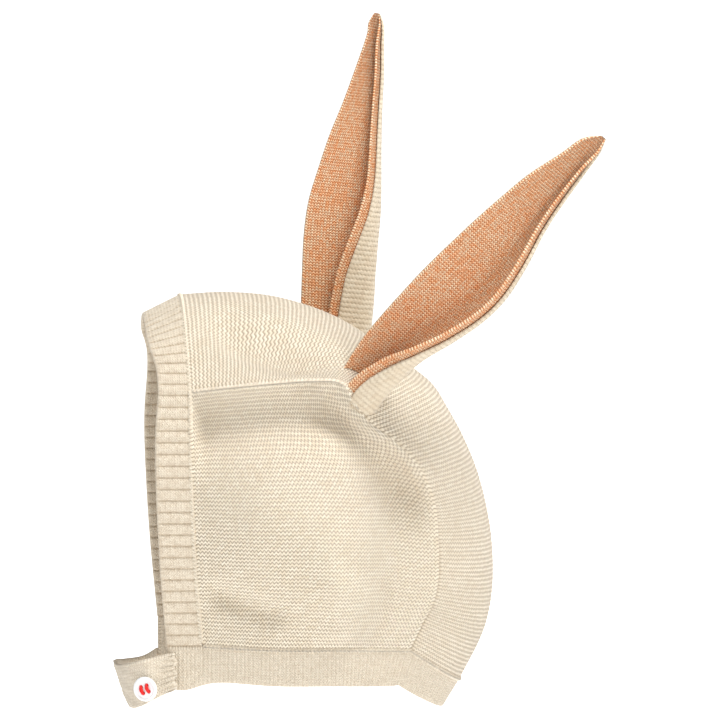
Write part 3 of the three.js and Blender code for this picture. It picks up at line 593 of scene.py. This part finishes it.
def earStart(ear, depth, level):  # how far up each of a few columns leaves the skin, at a depth in the ear
    fineRow, fineUp = earRows(ear)
    low = np.linspace(ears["lowest"], 26.0, 60)
    grid = earTurned(ear, earSections(ear, np.interp(low, fineUp, fineRow), 31))
    under = heightOverSkin(grid - surfaceNormals(grid) * depth) < level
    lastUnder = 59 - np.argmax(under[::-1], 0)
    return np.where(under.any(0), low[lastUnder], low[0])


def earGrid(ear, starts, columns, pitch, perPitch, lip=0.0):
    # even rows from root to tip; the lowest part of each column starts where the column leaves the skin
    fineRow, fineUp = earRows(ear)
    rowAt = lambda up: np.interp(up, fineUp, fineRow)
    start = np.interp(np.linspace(0, 1, columns), np.linspace(0, 1, 31), starts)
    count = int((fineUp[-1] - fineUp[0]) / pitch * perPitch)
    up = np.linspace(fineUp[0], fineUp[-1], count)[:, None]
    join = 30.0
    share = np.clip((join - up) / (join - fineUp[0]), 0, 1)
    rows = np.where(up < join, join - share * (join - start[None, :]), up)
    grids = np.empty((count, columns, 3))
    for j in range(columns):  # one column of the grid at a time
        grids[:, j] = earSections(ear, rowAt(rows[:, j]), columns, lip)[:, j]
    return earTurned(ear, grids), rows


def thinned(ear, rows):
    fineRow, fineUp = earRows(ear)
    width = column(ear["width"], np.interp(rows, fineUp, fineRow))
    return np.clip(width / ears["thinning"], 0.25, 1)


def makeEar(side, ear):
    starts = earStart(ear, 0.0, -0.6)
    grid, rows = earGrid(ear, starts, 33, ears["ridgePitch"], 5, ears["lip"])
    normals = surfaceNormals(grid)
    thin = thinned(ear, rows)
    count = rows / ears["ridgePitch"]
    top = ears["ridgeDepth"] * (ridge(count) - 1) * thin
    across = np.linspace(0, 1, 33)[None] * ears["width"] / knit["stitchWidth"] * np.ones((len(rows), 1))
    shell = clothMesh("earShell" + side, grid, normals, ears["shell"] * thin, top, 0 * top,
                      np.stack([across, count], -1))
    # A seam cord round the ear's root in dark tan (creamShade): painted contact shade where the ear meets
    # the bonnet.
    rootShadeSeam = beadedSeam("earShadeSeam" + side, grid[2] + normals[2] * 0.1, 0.5, 1.4, 0.2)
    inner = earStart(ear, ears["shell"] + ears["gap"] + ears["lining"], -0.3)
    grid, rows = earGrid(ear, np.maximum(starts, inner), 151, 2.4, 1)
    normals = surfaceNormals(grid)
    thin = thinned(ear, rows)
    grid = grid - normals * ((ears["shell"] * thin + ears["gap"])[..., None])
    across = np.linspace(0, 1, 151)[None] * ears["width"] / 1.42 * np.ones((len(rows), 1)) + 0.5
    lining = clothMesh("earLining" + side, grid, normals, ears["lining"] * thin, 0 * thin, 0 * thin,
                       np.stack([across, rows / 1.33], -1))
    return shell, lining, rootShadeSeam


# Seams: a row of linked loops, each a bead on a round cord carried along a line.
def beadedSeam(name, line, radius, pitch, swell, squash=1.0):
    total = lengths(line)[-1]
    beads = int(round(total / pitch))
    s = np.linspace(0, total, beads * 6 + 1)
    path = resample(line, s)
    ahead = unit(np.gradient(path, axis=0))
    side = unit(np.cross(ahead, np.array([0.0, 0.0, 1.0]) + 0.01))
    over = np.cross(side, ahead)
    ends = np.clip(np.minimum(s, total - s) / radius, 0.05, 1) ** 0.5
    size = radius * ends * (1 + swell * np.cos(2 * np.pi * s / total * beads))
    turn = np.linspace(0, 2 * np.pi, 10, endpoint=False)
    ring = side[:, None] * np.cos(turn)[None, :, None] + over[:, None] * np.sin(turn)[None, :, None] * squash
    points = path[:, None] + ring * size[:, None, None]
    index = np.arange(points.shape[0] * 10).reshape(-1, 10)
    a, b = index[:-1], index[1:]
    quads = np.stack([a, np.roll(a, -1, 1), np.roll(b, -1, 1), b], -1).reshape(-1, 4).tolist()
    caps = [index[0][::-1].tolist(), index[-1].tolist()]
    uv = np.stack([np.broadcast_to(turn / 2, (len(s), 10)), (s / pitch)[:, None] * np.ones((1, 10))], -1)
    return makePiece(name, points.reshape(-1, 3), quads + caps, uv.reshape(-1, 2))


def sunk(line, normals, depth):
    return line - normals * depth


earShellLeft, earLiningLeft, earShadeSeamLeft = makeEar("Left", leftEar)
earShellRight, earLiningRight, earShadeSeamRight = makeEar("Right", rightEar)
print("ears made")
crownEdge = crownPoint(np.linspace(0, 4.3, 200), np.full(200, 1.0))
facePath = resample(faceSeam, np.linspace(1.0, seamLength - 1.0, 800))
faceOut = unit(facePath * np.array([1, 0, 1]) - np.array([0, 0, 110.0]))
faceLink = beadedSeam("faceLink", sunk(facePath, faceOut, 0.75), 0.95, 1.75, 0.3)
neckPath = resample(neckSeam, np.linspace(16.0, neckLength - 16.0, 800))
neckOut = unit((neckPath - np.array([0, 75.0, 0])) * np.array([1.0, 0.8, 0]))
neckLink = beadedSeam("neckLink", sunk(neckPath, neckOut, 0.45), 1.05, 1.75, 0.22)
weltOut = unit(np.array([0.75, 0.0, 0.66]))
weltLeft = beadedSeam("weltLeft", crownEdge - weltOut * 0.8, 1.2, 1.75, 0.14)
weltRight = beadedSeam("weltRight", mirror(crownEdge - weltOut * 0.8), 1.2, 1.75, 0.14)
print("seams made")

# Button: a turned disc with a raised rim, pressed in at four holes, and two bars of thread.
button = {
    "diameter": 11.4,
    "thickness": 2.0,
    "rim": 0.35,
    "rimWidth": 1.5,
    "holeSpacing": 2.9,
    "holeDiameter": 1.9,
    "fromEnd": 13.0,
    "drop": 3.0,
    "thread": 1.5,
    "roll": 20.0,
}
buttonAt = resample(strapLine, np.array([button["fromEnd"]]))[0]
buttonAhead = unit(resample(strapLine, np.array([button["fromEnd"] + 0.5]))[0] - buttonAt)
buttonNormal = unit(np.array([-buttonAhead[1], buttonAhead[0], 0.0]))
forwardLevel = unit(buttonAhead * np.array([1, 1, 0]))
buttonRoll = np.radians(button["roll"])
buttonUp = np.array([0, 0, np.cos(buttonRoll)]) + forwardLevel * np.sin(buttonRoll)
buttonSide = np.cross(buttonUp, buttonNormal)
buttonAxes = np.stack([buttonSide, buttonUp, buttonNormal])
buttonSeat = buttonAt - np.array([0, 0, button["drop"]]) + buttonNormal * (strap["thickness"] / 2 + 0.6)


def turned(name, profile, segments, press=None):  # a profile of radius and height spun round the axis
    r, h = profile[:, 0][:, None], profile[:, 1][:, None]
    a = np.linspace(0, 2 * np.pi, segments, endpoint=False)[None]
    x, y = r * np.cos(a), r * np.sin(a)
    z = h * np.ones_like(a)
    if press is not None:
        z = z - press(x, y) * (h > button["thickness"] / 2)
    rings = np.stack([x, y, z], -1)
    middleBottom = np.array([[0.0, 0.0, profile[0, 1]]])
    middleTop = np.array([[0.0, 0.0, profile[-1, 1]]])
    points = np.concatenate([rings.reshape(-1, 3), middleBottom, middleTop])
    index = np.arange(rings.shape[0] * segments).reshape(-1, segments)
    low, high = index[:-1], index[1:]
    quads = np.stack([low, np.roll(low, -1, 1), np.roll(high, -1, 1), high], -1).reshape(-1, 4).tolist()
    bottomId, topId = len(points) - 2, len(points) - 1
    fans = [[int(b), int(a0), bottomId] for a0, b in zip(index[0], np.roll(index[0], -1))]
    fans += [[int(a0), int(b), topId] for a0, b in zip(index[-1], np.roll(index[-1], -1))]
    return makePiece(name, points @ buttonAxes + buttonSeat, quads + fans)


def holes(x, y):
    near = np.hypot(np.abs(x) - button["holeSpacing"] / 2, np.abs(y) - button["holeSpacing"] / 2)
    return 1.0 * (1 - smooth(near, 0.55 * button["holeDiameter"] / 2, 1.1 * button["holeDiameter"] / 2))


radius, high = button["diameter"] / 2, button["thickness"]
dish = radius - button["rimWidth"]
rimTurn = np.radians(np.linspace(-90, 90, 9))
rimArc = np.stack([radius - 0.9 + 0.9 * np.cos(rimTurn), high / 2 + high / 2 * np.sin(rimTurn)], -1)
rollIn = np.stack([np.linspace(radius - 1.05, dish - 0.25, 8),
                   high - button["rim"] * smooth(np.linspace(0, 1, 8), 0.05, 1.0)], -1)
flat = np.stack([np.linspace(dish - 0.4, 0.08, 34), np.full(34, high - button["rim"])], -1)
buttonProfile = np.concatenate([[[0.2, 0.0], [radius - 1.4, 0.0]], rimArc, rollIn, flat])
buttonDisc = turned("buttonDisc", buttonProfile, 96, holes)


def threadBar(name, x):  # a bundle of thread over the button: a swept round section, fat at both ends
    half = button["holeSpacing"] / 2
    topAt = high - button["rim"] + button["thread"] / 2 - 0.1
    stops = [
        (x, -half - 0.1, 0.5),
        (x, -half - 0.1, 0.75 * topAt),
        (x, -0.6 * half, topAt),
        (x, 0.6 * half, topAt),
        (x, half + 0.1, 0.75 * topAt),
        (x, half + 0.1, 0.5),
    ]
    path = smoothRoute(np.array(stops), 12)
    s = lengths(path)
    ahead = unit(np.gradient(path, axis=0))
    side = np.array([1.0, 0, 0]) * np.ones_like(ahead)
    over = np.cross(ahead, side)
    turn = np.linspace(0, 2 * np.pi, 20, endpoint=False)
    lobes = 1 + 0.07 * np.cos(3 * turn[None] + s[:, None] * 2.2)
    size = button["thread"] / 2 * lobes * (1 + 0.12 * np.cos(4 * np.pi * s / s[-1]))[:, None]
    ring = side[:, None] * np.cos(turn)[None, :, None] + over[:, None] * np.sin(turn)[None, :, None]
    points = (path[:, None] + ring * size[..., None]).reshape(-1, 3)
    index = np.arange(len(points)).reshape(-1, 20)
    a, b = index[:-1], index[1:]
    quads = np.stack([a, np.roll(a, -1, 1), np.roll(b, -1, 1), b], -1).reshape(-1, 4).tolist()
    ends = [index[0][::-1].tolist(), index[-1].tolist()]
    return makePiece(name, points @ buttonAxes + buttonSeat, quads + ends)


threadFront = threadBar("threadFront", -button["holeSpacing"] / 2)
threadBack = threadBar("threadBack", button["holeSpacing"] / 2)
print("button made")


# Materials
def link(tree, source, target):
    tree.links.new(source, target)


def math2(tree, operation, a, b=None, c=None):  # one Math node; a, b and c are sockets or numbers
    node = tree.nodes.new("ShaderNodeMath")
    node.operation = operation
    for k, value in enumerate((a, b, c)):
        if value is None:
            continue
        if isinstance(value, (int, float)):
            node.inputs[k].default_value = value
        else:
            link(tree, value, node.inputs[k])
    return node.outputs[0]


def newGroup(name, inputs, outputs):
    group = bpy.data.node_groups.new(name, "ShaderNodeTree")
    for label, kind, value in inputs:
        socket = group.interface.new_socket(name=label, in_out="INPUT", socket_type=kind)
        if value is not None:
            socket.default_value = value
    for label, kind in outputs:
        group.interface.new_socket(name=label, in_out="OUTPUT", socket_type=kind)
    return group, group.nodes.new("NodeGroupInput"), group.nodes.new("NodeGroupOutput")


def splitUv(group, source):
    apart = group.nodes.new("ShaderNodeSeparateXYZ")
    link(group, source, apart.inputs[0])
    return apart.outputs[0], apart.outputs[1]


def wobble(group, vector, scale, amount):  # moves the stitches about a little
    noise = group.nodes.new("ShaderNodeTexNoise")
    noise.noise_dimensions = "2D"
    noise.inputs["Scale"].default_value = scale
    noise.inputs["Detail"].default_value = 1.0
    link(group, vector, noise.inputs["Vector"])
    less = group.nodes.new("ShaderNodeVectorMath")
    less.operation = "SUBTRACT"
    less.inputs[1].default_value = (0.5, 0.5, 0.5)
    link(group, noise.outputs["Color"], less.inputs[0])
    more = group.nodes.new("ShaderNodeVectorMath")
    more.operation = "SCALE"
    more.inputs["Scale"].default_value = amount
    link(group, less.outputs[0], more.inputs[0])
    total = group.nodes.new("ShaderNodeVectorMath")
    total.operation = "ADD"
    link(group, vector, total.inputs[0])
    link(group, more.outputs[0], total.inputs[1])
    return total.outputs[0]


def cellNoise(group, u, v):  # one random value for each stitch
    join = group.nodes.new("ShaderNodeCombineXYZ")
    link(group, u, join.inputs[0])
    link(group, v, join.inputs[1])
    white = group.nodes.new("ShaderNodeTexWhiteNoise")
    white.noise_dimensions = "2D"
    link(group, join.outputs[0], white.inputs["Vector"])
    return white.outputs["Value"]


def garterGroup():
    # every ridge is bent to and fro alike by a sine along it: cos(pi d), d from the bent ridge's middle,
    # and each of its slopes carries a bead, cos(2 pi u) high
    group, given, out = newGroup("garterStitch", [("Stitches", "NodeSocketVector", None),
                                                  ("Zigzag", "NodeSocketFloat", 0.25)],
                                 [("Height", "NodeSocketFloat"), ("Cavity Shade", "NodeSocketFloat"),
                                  ("Stitch Tint", "NodeSocketFloat")])
    u, v = splitUv(group, wobble(group, given.outputs["Stitches"], 0.35, 0.3))
    angle = math2(group, "MULTIPLY", u, 2 * np.pi)
    bent = math2(group, "MULTIPLY_ADD", math2(group, "SINE", angle), given.outputs["Zigzag"], v)
    off = math2(group, "ABSOLUTE", math2(group, "SUBTRACT", math2(group, "FRACT", bent), 0.5))
    bead = math2(group, "MULTIPLY_ADD", math2(group, "COSINE", angle), 0.07, 0.93)
    round1 = math2(group, "POWER", math2(group, "COSINE", math2(group, "MULTIPLY", off, np.pi)), 0.8)
    height = math2(group, "MULTIPLY", round1, bead)
    link(group, height, out.inputs["Height"])
    # Cavity: a mask for painted shade low in the grooves between the ridges.
    deep = math2(group, "MAXIMUM", math2(group, "SUBTRACT", 0.75, height), 0.0)
    link(group, math2(group, "MINIMUM", math2(group, "MULTIPLY", deep, 1.6), 1.0), out.inputs["Cavity Shade"])
    tint = cellNoise(group, math2(group, "FLOOR", math2(group, "ADD", u, 0.5)), math2(group, "FLOOR", bent))
    link(group, tint, out.inputs["Stitch Tint"])
    return group


def stockingGroup():
    # columns sin(pi u) round, each crossed by legs that slope down to its middle: a V; painted shade
    # between stitches, and more in a groove, a bell curve round every so many columns, where cloth is ribbed
    group, given, out = newGroup("stockingStitch", [("Stitches", "NodeSocketVector", None),
                                                    ("Columns In Rib", "NodeSocketFloat", 4.0),
                                                    ("Groove Shade", "NodeSocketFloat", 0.0)],
                                 [("Height", "NodeSocketFloat"), ("Cavity Shade", "NodeSocketFloat"),
                                  ("Stitch Tint", "NodeSocketFloat")])
    u, v = splitUv(group, wobble(group, given.outputs["Stitches"], 0.5, 0.25))
    offMiddle = math2(group, "ABSOLUTE", math2(group, "SUBTRACT", math2(group, "FRACT", u), 0.5))
    slope = math2(group, "MULTIPLY_ADD", offMiddle, 1.1, v)
    slopeWave = math2(group, "COSINE", math2(group, "MULTIPLY", slope, 2 * np.pi))
    leg = math2(group, "MULTIPLY_ADD", slopeWave, 0.5, 0.5)
    columns = math2(group, "ABSOLUTE", math2(group, "SINE", math2(group, "MULTIPLY", u, np.pi)))
    round2 = math2(group, "MULTIPLY_ADD", columns, 0.5, 0.5)
    height = math2(group, "MULTIPLY", round2, math2(group, "MULTIPLY_ADD", leg, 0.8, 0.2))
    link(group, height, out.inputs["Height"])
    between = math2(group, "POWER", math2(group, "SUBTRACT", 1.0, height), 1.5)
    stitchAcross = splitUv(group, given.outputs["Stitches"])[0]
    ribs = math2(group, "DIVIDE", stitchAcross, given.outputs["Columns In Rib"])
    offRib = math2(group, "PINGPONG", ribs, 0.5)
    bell = math2(group, "EXPONENT", math2(group, "MULTIPLY", math2(group, "POWER", offRib, 2.0), -220.0))
    grooved = math2(group, "MULTIPLY_ADD", bell, given.outputs["Groove Shade"], between)
    link(group, math2(group, "MINIMUM", grooved, 1.0), out.inputs["Cavity Shade"])
    tint = cellNoise(group, math2(group, "FLOOR", u), math2(group, "FLOOR", slope))
    link(group, tint, out.inputs["Stitch Tint"])
    return group


garterStitch = garterGroup()
stockingStitch = stockingGroup()


def mixColour(tree, factor, a, b):
    node = tree.nodes.new("ShaderNodeMix")
    node.data_type = "RGBA"
    for socket, value in ((node.inputs[0], factor), (node.inputs[6], a), (node.inputs[7], b)):
        if isinstance(value, (int, float)):
            socket.default_value = value
        elif isinstance(value, tuple):
            socket.default_value = (*value, 1.0)
        else:
            link(tree, value, socket)
    return node.outputs[2]


def yarnMaterial(name, look):
    material = bpy.data.materials.new(name)
    material.use_nodes = True
    tree = material.node_tree
    shader = tree.nodes["Principled BSDF"]
    uv = tree.nodes.new("ShaderNodeUVMap")
    uv.uv_map = "stitches"
    stitch = tree.nodes.new("ShaderNodeGroup")
    stitch.node_tree = look["stitch"]
    link(tree, uv.outputs[0], stitch.inputs["Stitches"])
    for socketName, key in (("Columns In Rib", "columnsInRib"), ("Groove Shade", "groove"), ("Zigzag", "zigzag")):
        if key in look:
            stitch.inputs[socketName].default_value = look[key]
    where = tree.nodes.new("ShaderNodeTexCoord")
    patches = tree.nodes.new("ShaderNodeTexNoise")
    patches.inputs["Scale"].default_value = 45.0
    patches.inputs["Detail"].default_value = 2.0
    link(tree, where.outputs["Object"], patches.inputs["Vector"])
    colour = mixColour(tree, patches.outputs["Fac"], look["dark"], look["light"])
    tint = math2(tree, "MULTIPLY", stitch.outputs["Stitch Tint"], look["tintShare"])
    colour = mixColour(tree, tint, colour, look["tint"])
    # Painted highlight: the stitch tops are mixed towards the pale crest colour by their height, more on
    # some stitches than on others at random.
    crestHighlight = math2(tree, "POWER", stitch.outputs["Height"], 2.5)
    shine = math2(tree, "MULTIPLY_ADD", stitch.outputs["Stitch Tint"], 1.1, 0.4)
    crestHighlight = math2(tree, "MULTIPLY", math2(tree, "MULTIPLY", crestHighlight, shine), look["crestHighlightShare"])
    colour = mixColour(tree, crestHighlight, colour, look["crestHighlight"])
    # Painted shade: the grooves between stitches, and the rib grooves, are mixed towards the dark cavity
    # colour.
    cavityShade = math2(tree, "MULTIPLY", stitch.outputs["Cavity Shade"], look["cavityShadeShare"])
    colour = mixColour(tree, cavityShade, colour, look["cavityShade"])
    link(tree, colour, shader.inputs["Base Color"])
    shader.inputs["Roughness"].default_value = look["roughness"]
    shader.inputs["Metallic"].default_value = look["metallic"]
    shader.inputs["Sheen Weight"].default_value = look["sheen"]
    shader.inputs["Sheen Roughness"].default_value = 0.5
    shader.inputs["Specular IOR Level"].default_value = look["specular"]
    fibre = tree.nodes.new("ShaderNodeTexNoise")
    fibre.inputs["Scale"].default_value = 2600.0
    fibre.inputs["Detail"].default_value = 1.0
    link(tree, where.outputs["Object"], fibre.inputs["Vector"])
    height = math2(tree, "MULTIPLY_ADD", fibre.outputs["Fac"], look["fibre"], stitch.outputs["Height"])
    bump = tree.nodes.new("ShaderNodeBump")
    bump.inputs["Distance"].default_value = look["bump"] * 0.001
    bump.inputs["Strength"].default_value = 1.0
    link(tree, height, bump.inputs["Height"])
    link(tree, bump.outputs[0], shader.inputs["Normal"])
    return material


creamLook = {
    "stitch": garterStitch,
    "dark": (0.79, 0.665, 0.492),
    "light": (0.87, 0.765, 0.600),
    "tint": (0.93, 0.85, 0.70),
    "tintShare": 0.45,
    # The pale crest colour is a painted highlight on the stitch tops; the dark cavity colour is painted
    # shade in the grooves.
    "crestHighlight": (0.98, 0.92, 0.80),
    "crestHighlightShare": 0.25,
    "cavityShade": (0.42, 0.31, 0.20),
    "cavityShadeShare": 0.85,
    "roughness": 0.85,
    "metallic": 0.0,
    "sheen": 0.25,
    "specular": 0.25,
    "fibre": 0.25,
    "bump": 0.55,
}
# The crown's copy of the cream yarn, darker than creamLook: painted shade, set for how the crown is lit.
crownShadedLook = {
    **creamLook,
    "dark": (0.735, 0.615, 0.452),
    "light": (0.805, 0.70, 0.547),
    "tint": (0.87, 0.785, 0.638),
    "crestHighlight": (0.94, 0.875, 0.752),
    "zigzag": 0.21,
    "cavityShadeShare": 0.72,
    "bump": 0.5,
}
# A darker copy of the cream yarn for the face band: painted shade, set for how the band is lit; groove adds
# painted shade in the rib grooves.
ribShadedLook = {
    **creamLook,
    "stitch": stockingStitch,
    "dark": (0.66, 0.555, 0.42),
    "light": (0.72, 0.62, 0.485),
    "crestHighlightShare": 0.15,
    "cavityShadeShare": 0.26,
    "bump": 0.28,
    "columnsInRib": 4.0,
    "groove": 1.3,
}
# The neck band's copy of the cream yarn, with its brightness set for how the band is lit: painted light and
# shade. plainLook below keeps these colours.
fineLook = {
    **ribShadedLook,
    "dark": (0.74, 0.635, 0.49),
    "light": (0.80, 0.70, 0.56),
    "cavityShadeShare": 0.34,
    "bump": 0.4,
    "columnsInRib": 1.5,
    "groove": 1.1,
}
plainLook = {**fineLook, "groove": 0.0, "crestHighlightShare": 0.25}
# A lighter copy of the plain yarn for the face seam: a painted highlight along its beads.
seamHighlightLook = {**plainLook, "dark": (0.82, 0.72, 0.57), "light": (0.88, 0.79, 0.64)}
# The ears' copy of the cream yarn, much darker than creamLook: painted shade, set for how the ears are lit.
earShadedLook = {
    **creamLook,
    "zigzag": 0.12,
    "crestHighlightShare": 0.1,
    "cavityShadeShare": 0.2,
    "bump": 0.3,
    "dark": (0.61, 0.495, 0.35),
    "light": (0.68, 0.57, 0.425),
    "tint": (0.74, 0.655, 0.51),
}
# Dark tan for the seam cords round the ears' roots: painted contact shade where each ear meets the bonnet.
shadeLook = {**plainLook, "dark": (0.52, 0.40, 0.26), "light": (0.58, 0.46, 0.31), "tintShare": 0.1}
liningLook = {
    "stitch": stockingStitch,
    "dark": (0.95, 0.335, 0.105),
    "light": (1.0, 0.455, 0.18),
    "tint": (1.0, 0.73, 0.45),
    "tintShare": 0.7,
    # The pale crest colour is a painted highlight on the stitch tops; the dark cavity colour is painted
    # shade in the gaps between them.
    "crestHighlight": (1.0, 0.84, 0.60),
    "crestHighlightShare": 0.85,
    "cavityShade": (0.32, 0.07, 0.01),
    "cavityShadeShare": 1.0,
    "roughness": 0.45,
    "metallic": 0.0,
    "sheen": 0.05,
    "specular": 0.4,
    "fibre": 0.25,
    "bump": 0.4,
}
creamKnit = yarnMaterial("creamKnit", creamLook)
creamCrownShaded = yarnMaterial("creamCrownShaded", crownShadedLook)
creamRibShaded = yarnMaterial("creamRibShaded", ribShadedLook)
creamFineRib = yarnMaterial("creamFineRib", fineLook)
creamPlain = yarnMaterial("creamPlain", plainLook)
creamSeamHighlight = yarnMaterial("creamSeamHighlight", seamHighlightLook)
creamEarShaded = yarnMaterial("creamEarShaded", earShadedLook)
creamShade = yarnMaterial("creamShade", shadeLook)
copperLining = yarnMaterial("copperLining", liningLook)


def plainMaterial(name, colour, roughness, coat, grain):
    material = bpy.data.materials.new(name)
    material.use_nodes = True
    tree = material.node_tree
    shader = tree.nodes["Principled BSDF"]
    where = tree.nodes.new("ShaderNodeTexCoord")
    noise = tree.nodes.new("ShaderNodeTexNoise")
    noise.inputs["Scale"].default_value = grain
    link(tree, where.outputs["Object"], noise.inputs["Vector"])
    darker = tuple(0.93 * c for c in colour)
    link(tree, mixColour(tree, noise.outputs["Fac"], darker, colour), shader.inputs["Base Color"])
    shader.inputs["Roughness"].default_value = roughness
    shader.inputs["Coat Weight"].default_value = coat
    bump = tree.nodes.new("ShaderNodeBump")
    bump.inputs["Distance"].default_value = 0.00008
    link(tree, noise.outputs["Fac"], bump.inputs["Height"])
    link(tree, bump.outputs[0], shader.inputs["Normal"])
    return material


whitePlastic = plainMaterial("whitePlastic", (0.95, 0.955, 0.965), 0.3, 0.3, 400.0)
redThread = plainMaterial("redThread", (0.80, 0.008, 0.005), 0.6, 0.0, 3000.0)

finishes = [
    (crownStrip, ["crown_strip"], "cream_knit", creamCrownShaded),
    (sideLeft, ["side_panel_left"], "cream_knit", creamKnit),
    (sideRight, ["side_panel_right"], "cream_knit", creamKnit),
    (faceBand, ["face_band"], "cream_rib", creamRibShaded),
    (neckBand, ["neck_band"], "cream_rib", creamFineRib),
    (chinStrap, ["chin_strap"], "cream_rib", creamPlain),
    (buttonTab, ["button_tab"], "cream_rib", creamPlain),
    (earShellLeft, ["ear_shell_left"], "cream_knit", creamEarShaded),
    (earShellRight, ["ear_shell_right"], "cream_knit", creamEarShaded),
    (earLiningLeft, ["ear_lining_left"], "copper_lining", copperLining),
    (earLiningRight, ["ear_lining_right"], "copper_lining", copperLining),
    # The face seam's lighter yarn is a painted highlight.
    (faceLink, [], "cream_rib", creamSeamHighlight),
    (neckLink, [], "cream_rib", creamPlain),
    # The ear seams' dark tan is painted contact shade.
    (earShadeSeamLeft, [], "cream_rib", creamShade),
    (earShadeSeamRight, [], "cream_rib", creamShade),
    (weltLeft, [], "cream_rib", creamPlain),
    (weltRight, [], "cream_rib", creamPlain),
    (buttonDisc, ["button"], "white_button", whitePlastic),
    (threadFront, ["button_stitch_front"], "red_thread", redThread),
    (threadBack, ["button_stitch_back"], "red_thread", redThread),
]
for piece, nodes, slotName, material in finishes:
    piece.data.materials.append(material)
    if nodes:
        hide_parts(*nodes)
print("materials made")

# Camera, lights and floor
view = {
    "azimuth": 84.0,
    "elevation": 6.5,
    "distance": 1.8,
    "target": (0.0, 0.025, -0.023624),
    "frameWidth": 0.3312,  # what the image spans at the target
}
azimuth, elevation = np.radians(view["azimuth"]), np.radians(view["elevation"])
back = Vector((np.sin(azimuth) * np.cos(elevation), -np.cos(azimuth) * np.cos(elevation), np.sin(elevation)))
cameraData = bpy.data.cameras.new("camera")
cameraData.sensor_width = 36.0
cameraData.lens = 36.0 * view["distance"] / view["frameWidth"]
cameraData.clip_end = 200.0
camera = bpy.data.objects.new("camera", cameraData)
camera.location = Vector(view["target"]) + back * view["distance"]
camera.rotation_mode = "QUATERNION"
camera.rotation_quaternion = (-back).to_track_quat("-Z", "Y")
bpy.context.scene.collection.objects.link(camera)
bpy.context.scene.camera = camera


def softLight(name, location, target, size, power):
    data = bpy.data.lights.new(name, "AREA")
    data.shape = "SQUARE"
    data.size = size
    data.energy = power
    lamp = bpy.data.objects.new(name, data)
    lamp.location = location
    lamp.rotation_mode = "QUATERNION"
    lamp.rotation_quaternion = (Vector(location) - Vector(target)).to_track_quat("Z", "Y")
    bpy.context.scene.collection.objects.link(lamp)


softLight("overhead", (0.35, 0.3, 1.1), (0, 0.02, -0.05), 0.5, 13.5)
softLight("side", (1.5, 0.6, 0.2), (0, 0, -0.05), 0.9, 6.8)
softLight("front", (1.0, -1.2, -0.05), (0, 0, -0.08), 0.8, 2.6)

world = bpy.data.worlds.new("studio")
world.use_nodes = True
studio = world.node_tree.nodes["Background"]
studio.inputs["Color"].default_value = (1, 1, 1, 1)
toCamera = world.node_tree.nodes.new("ShaderNodeLightPath").outputs["Is Camera Ray"]
strength = math2(world.node_tree, "MULTIPLY_ADD", toCamera, 0.59, 0.41)
link(world.node_tree, strength, studio.inputs["Strength"])
bpy.context.scene.world = world
bpy.context.scene.view_settings.view_transform = "Standard"  # plain colours, as the photograph's

floorMesh = bpy.data.meshes.new("floor")
floorCorners = [(-60, -60, -0.27), (60, -60, -0.27), (60, 60, -0.27), (-60, 60, -0.27)]
floorMesh.from_pydata(floorCorners, [], [(0, 1, 2, 3)])
floor = bpy.data.objects.new("floor", floorMesh)
bpy.context.scene.collection.objects.link(floor)
floorMaterial = bpy.data.materials.new("paleFloor")
floorMaterial.use_nodes = True
floorShader = floorMaterial.node_tree.nodes["Principled BSDF"]
floorShader.inputs["Base Color"].default_value = (0.8, 0.8, 0.8, 1)
floorShader.inputs["Roughness"].default_value = 0.9
floorShader.inputs["Emission Color"].default_value = (1, 1, 1, 1)
seen = floorMaterial.node_tree.nodes.new("ShaderNodeLightPath")  # as white as the photograph's to the camera
glow = math2(floorMaterial.node_tree, "MULTIPLY_ADD", seen.outputs["Is Camera Ray"], 0.43, 0.57)
link(floorMaterial.node_tree, glow, floorShader.inputs["Emission Strength"])
floor.data.materials.append(floorMaterial)
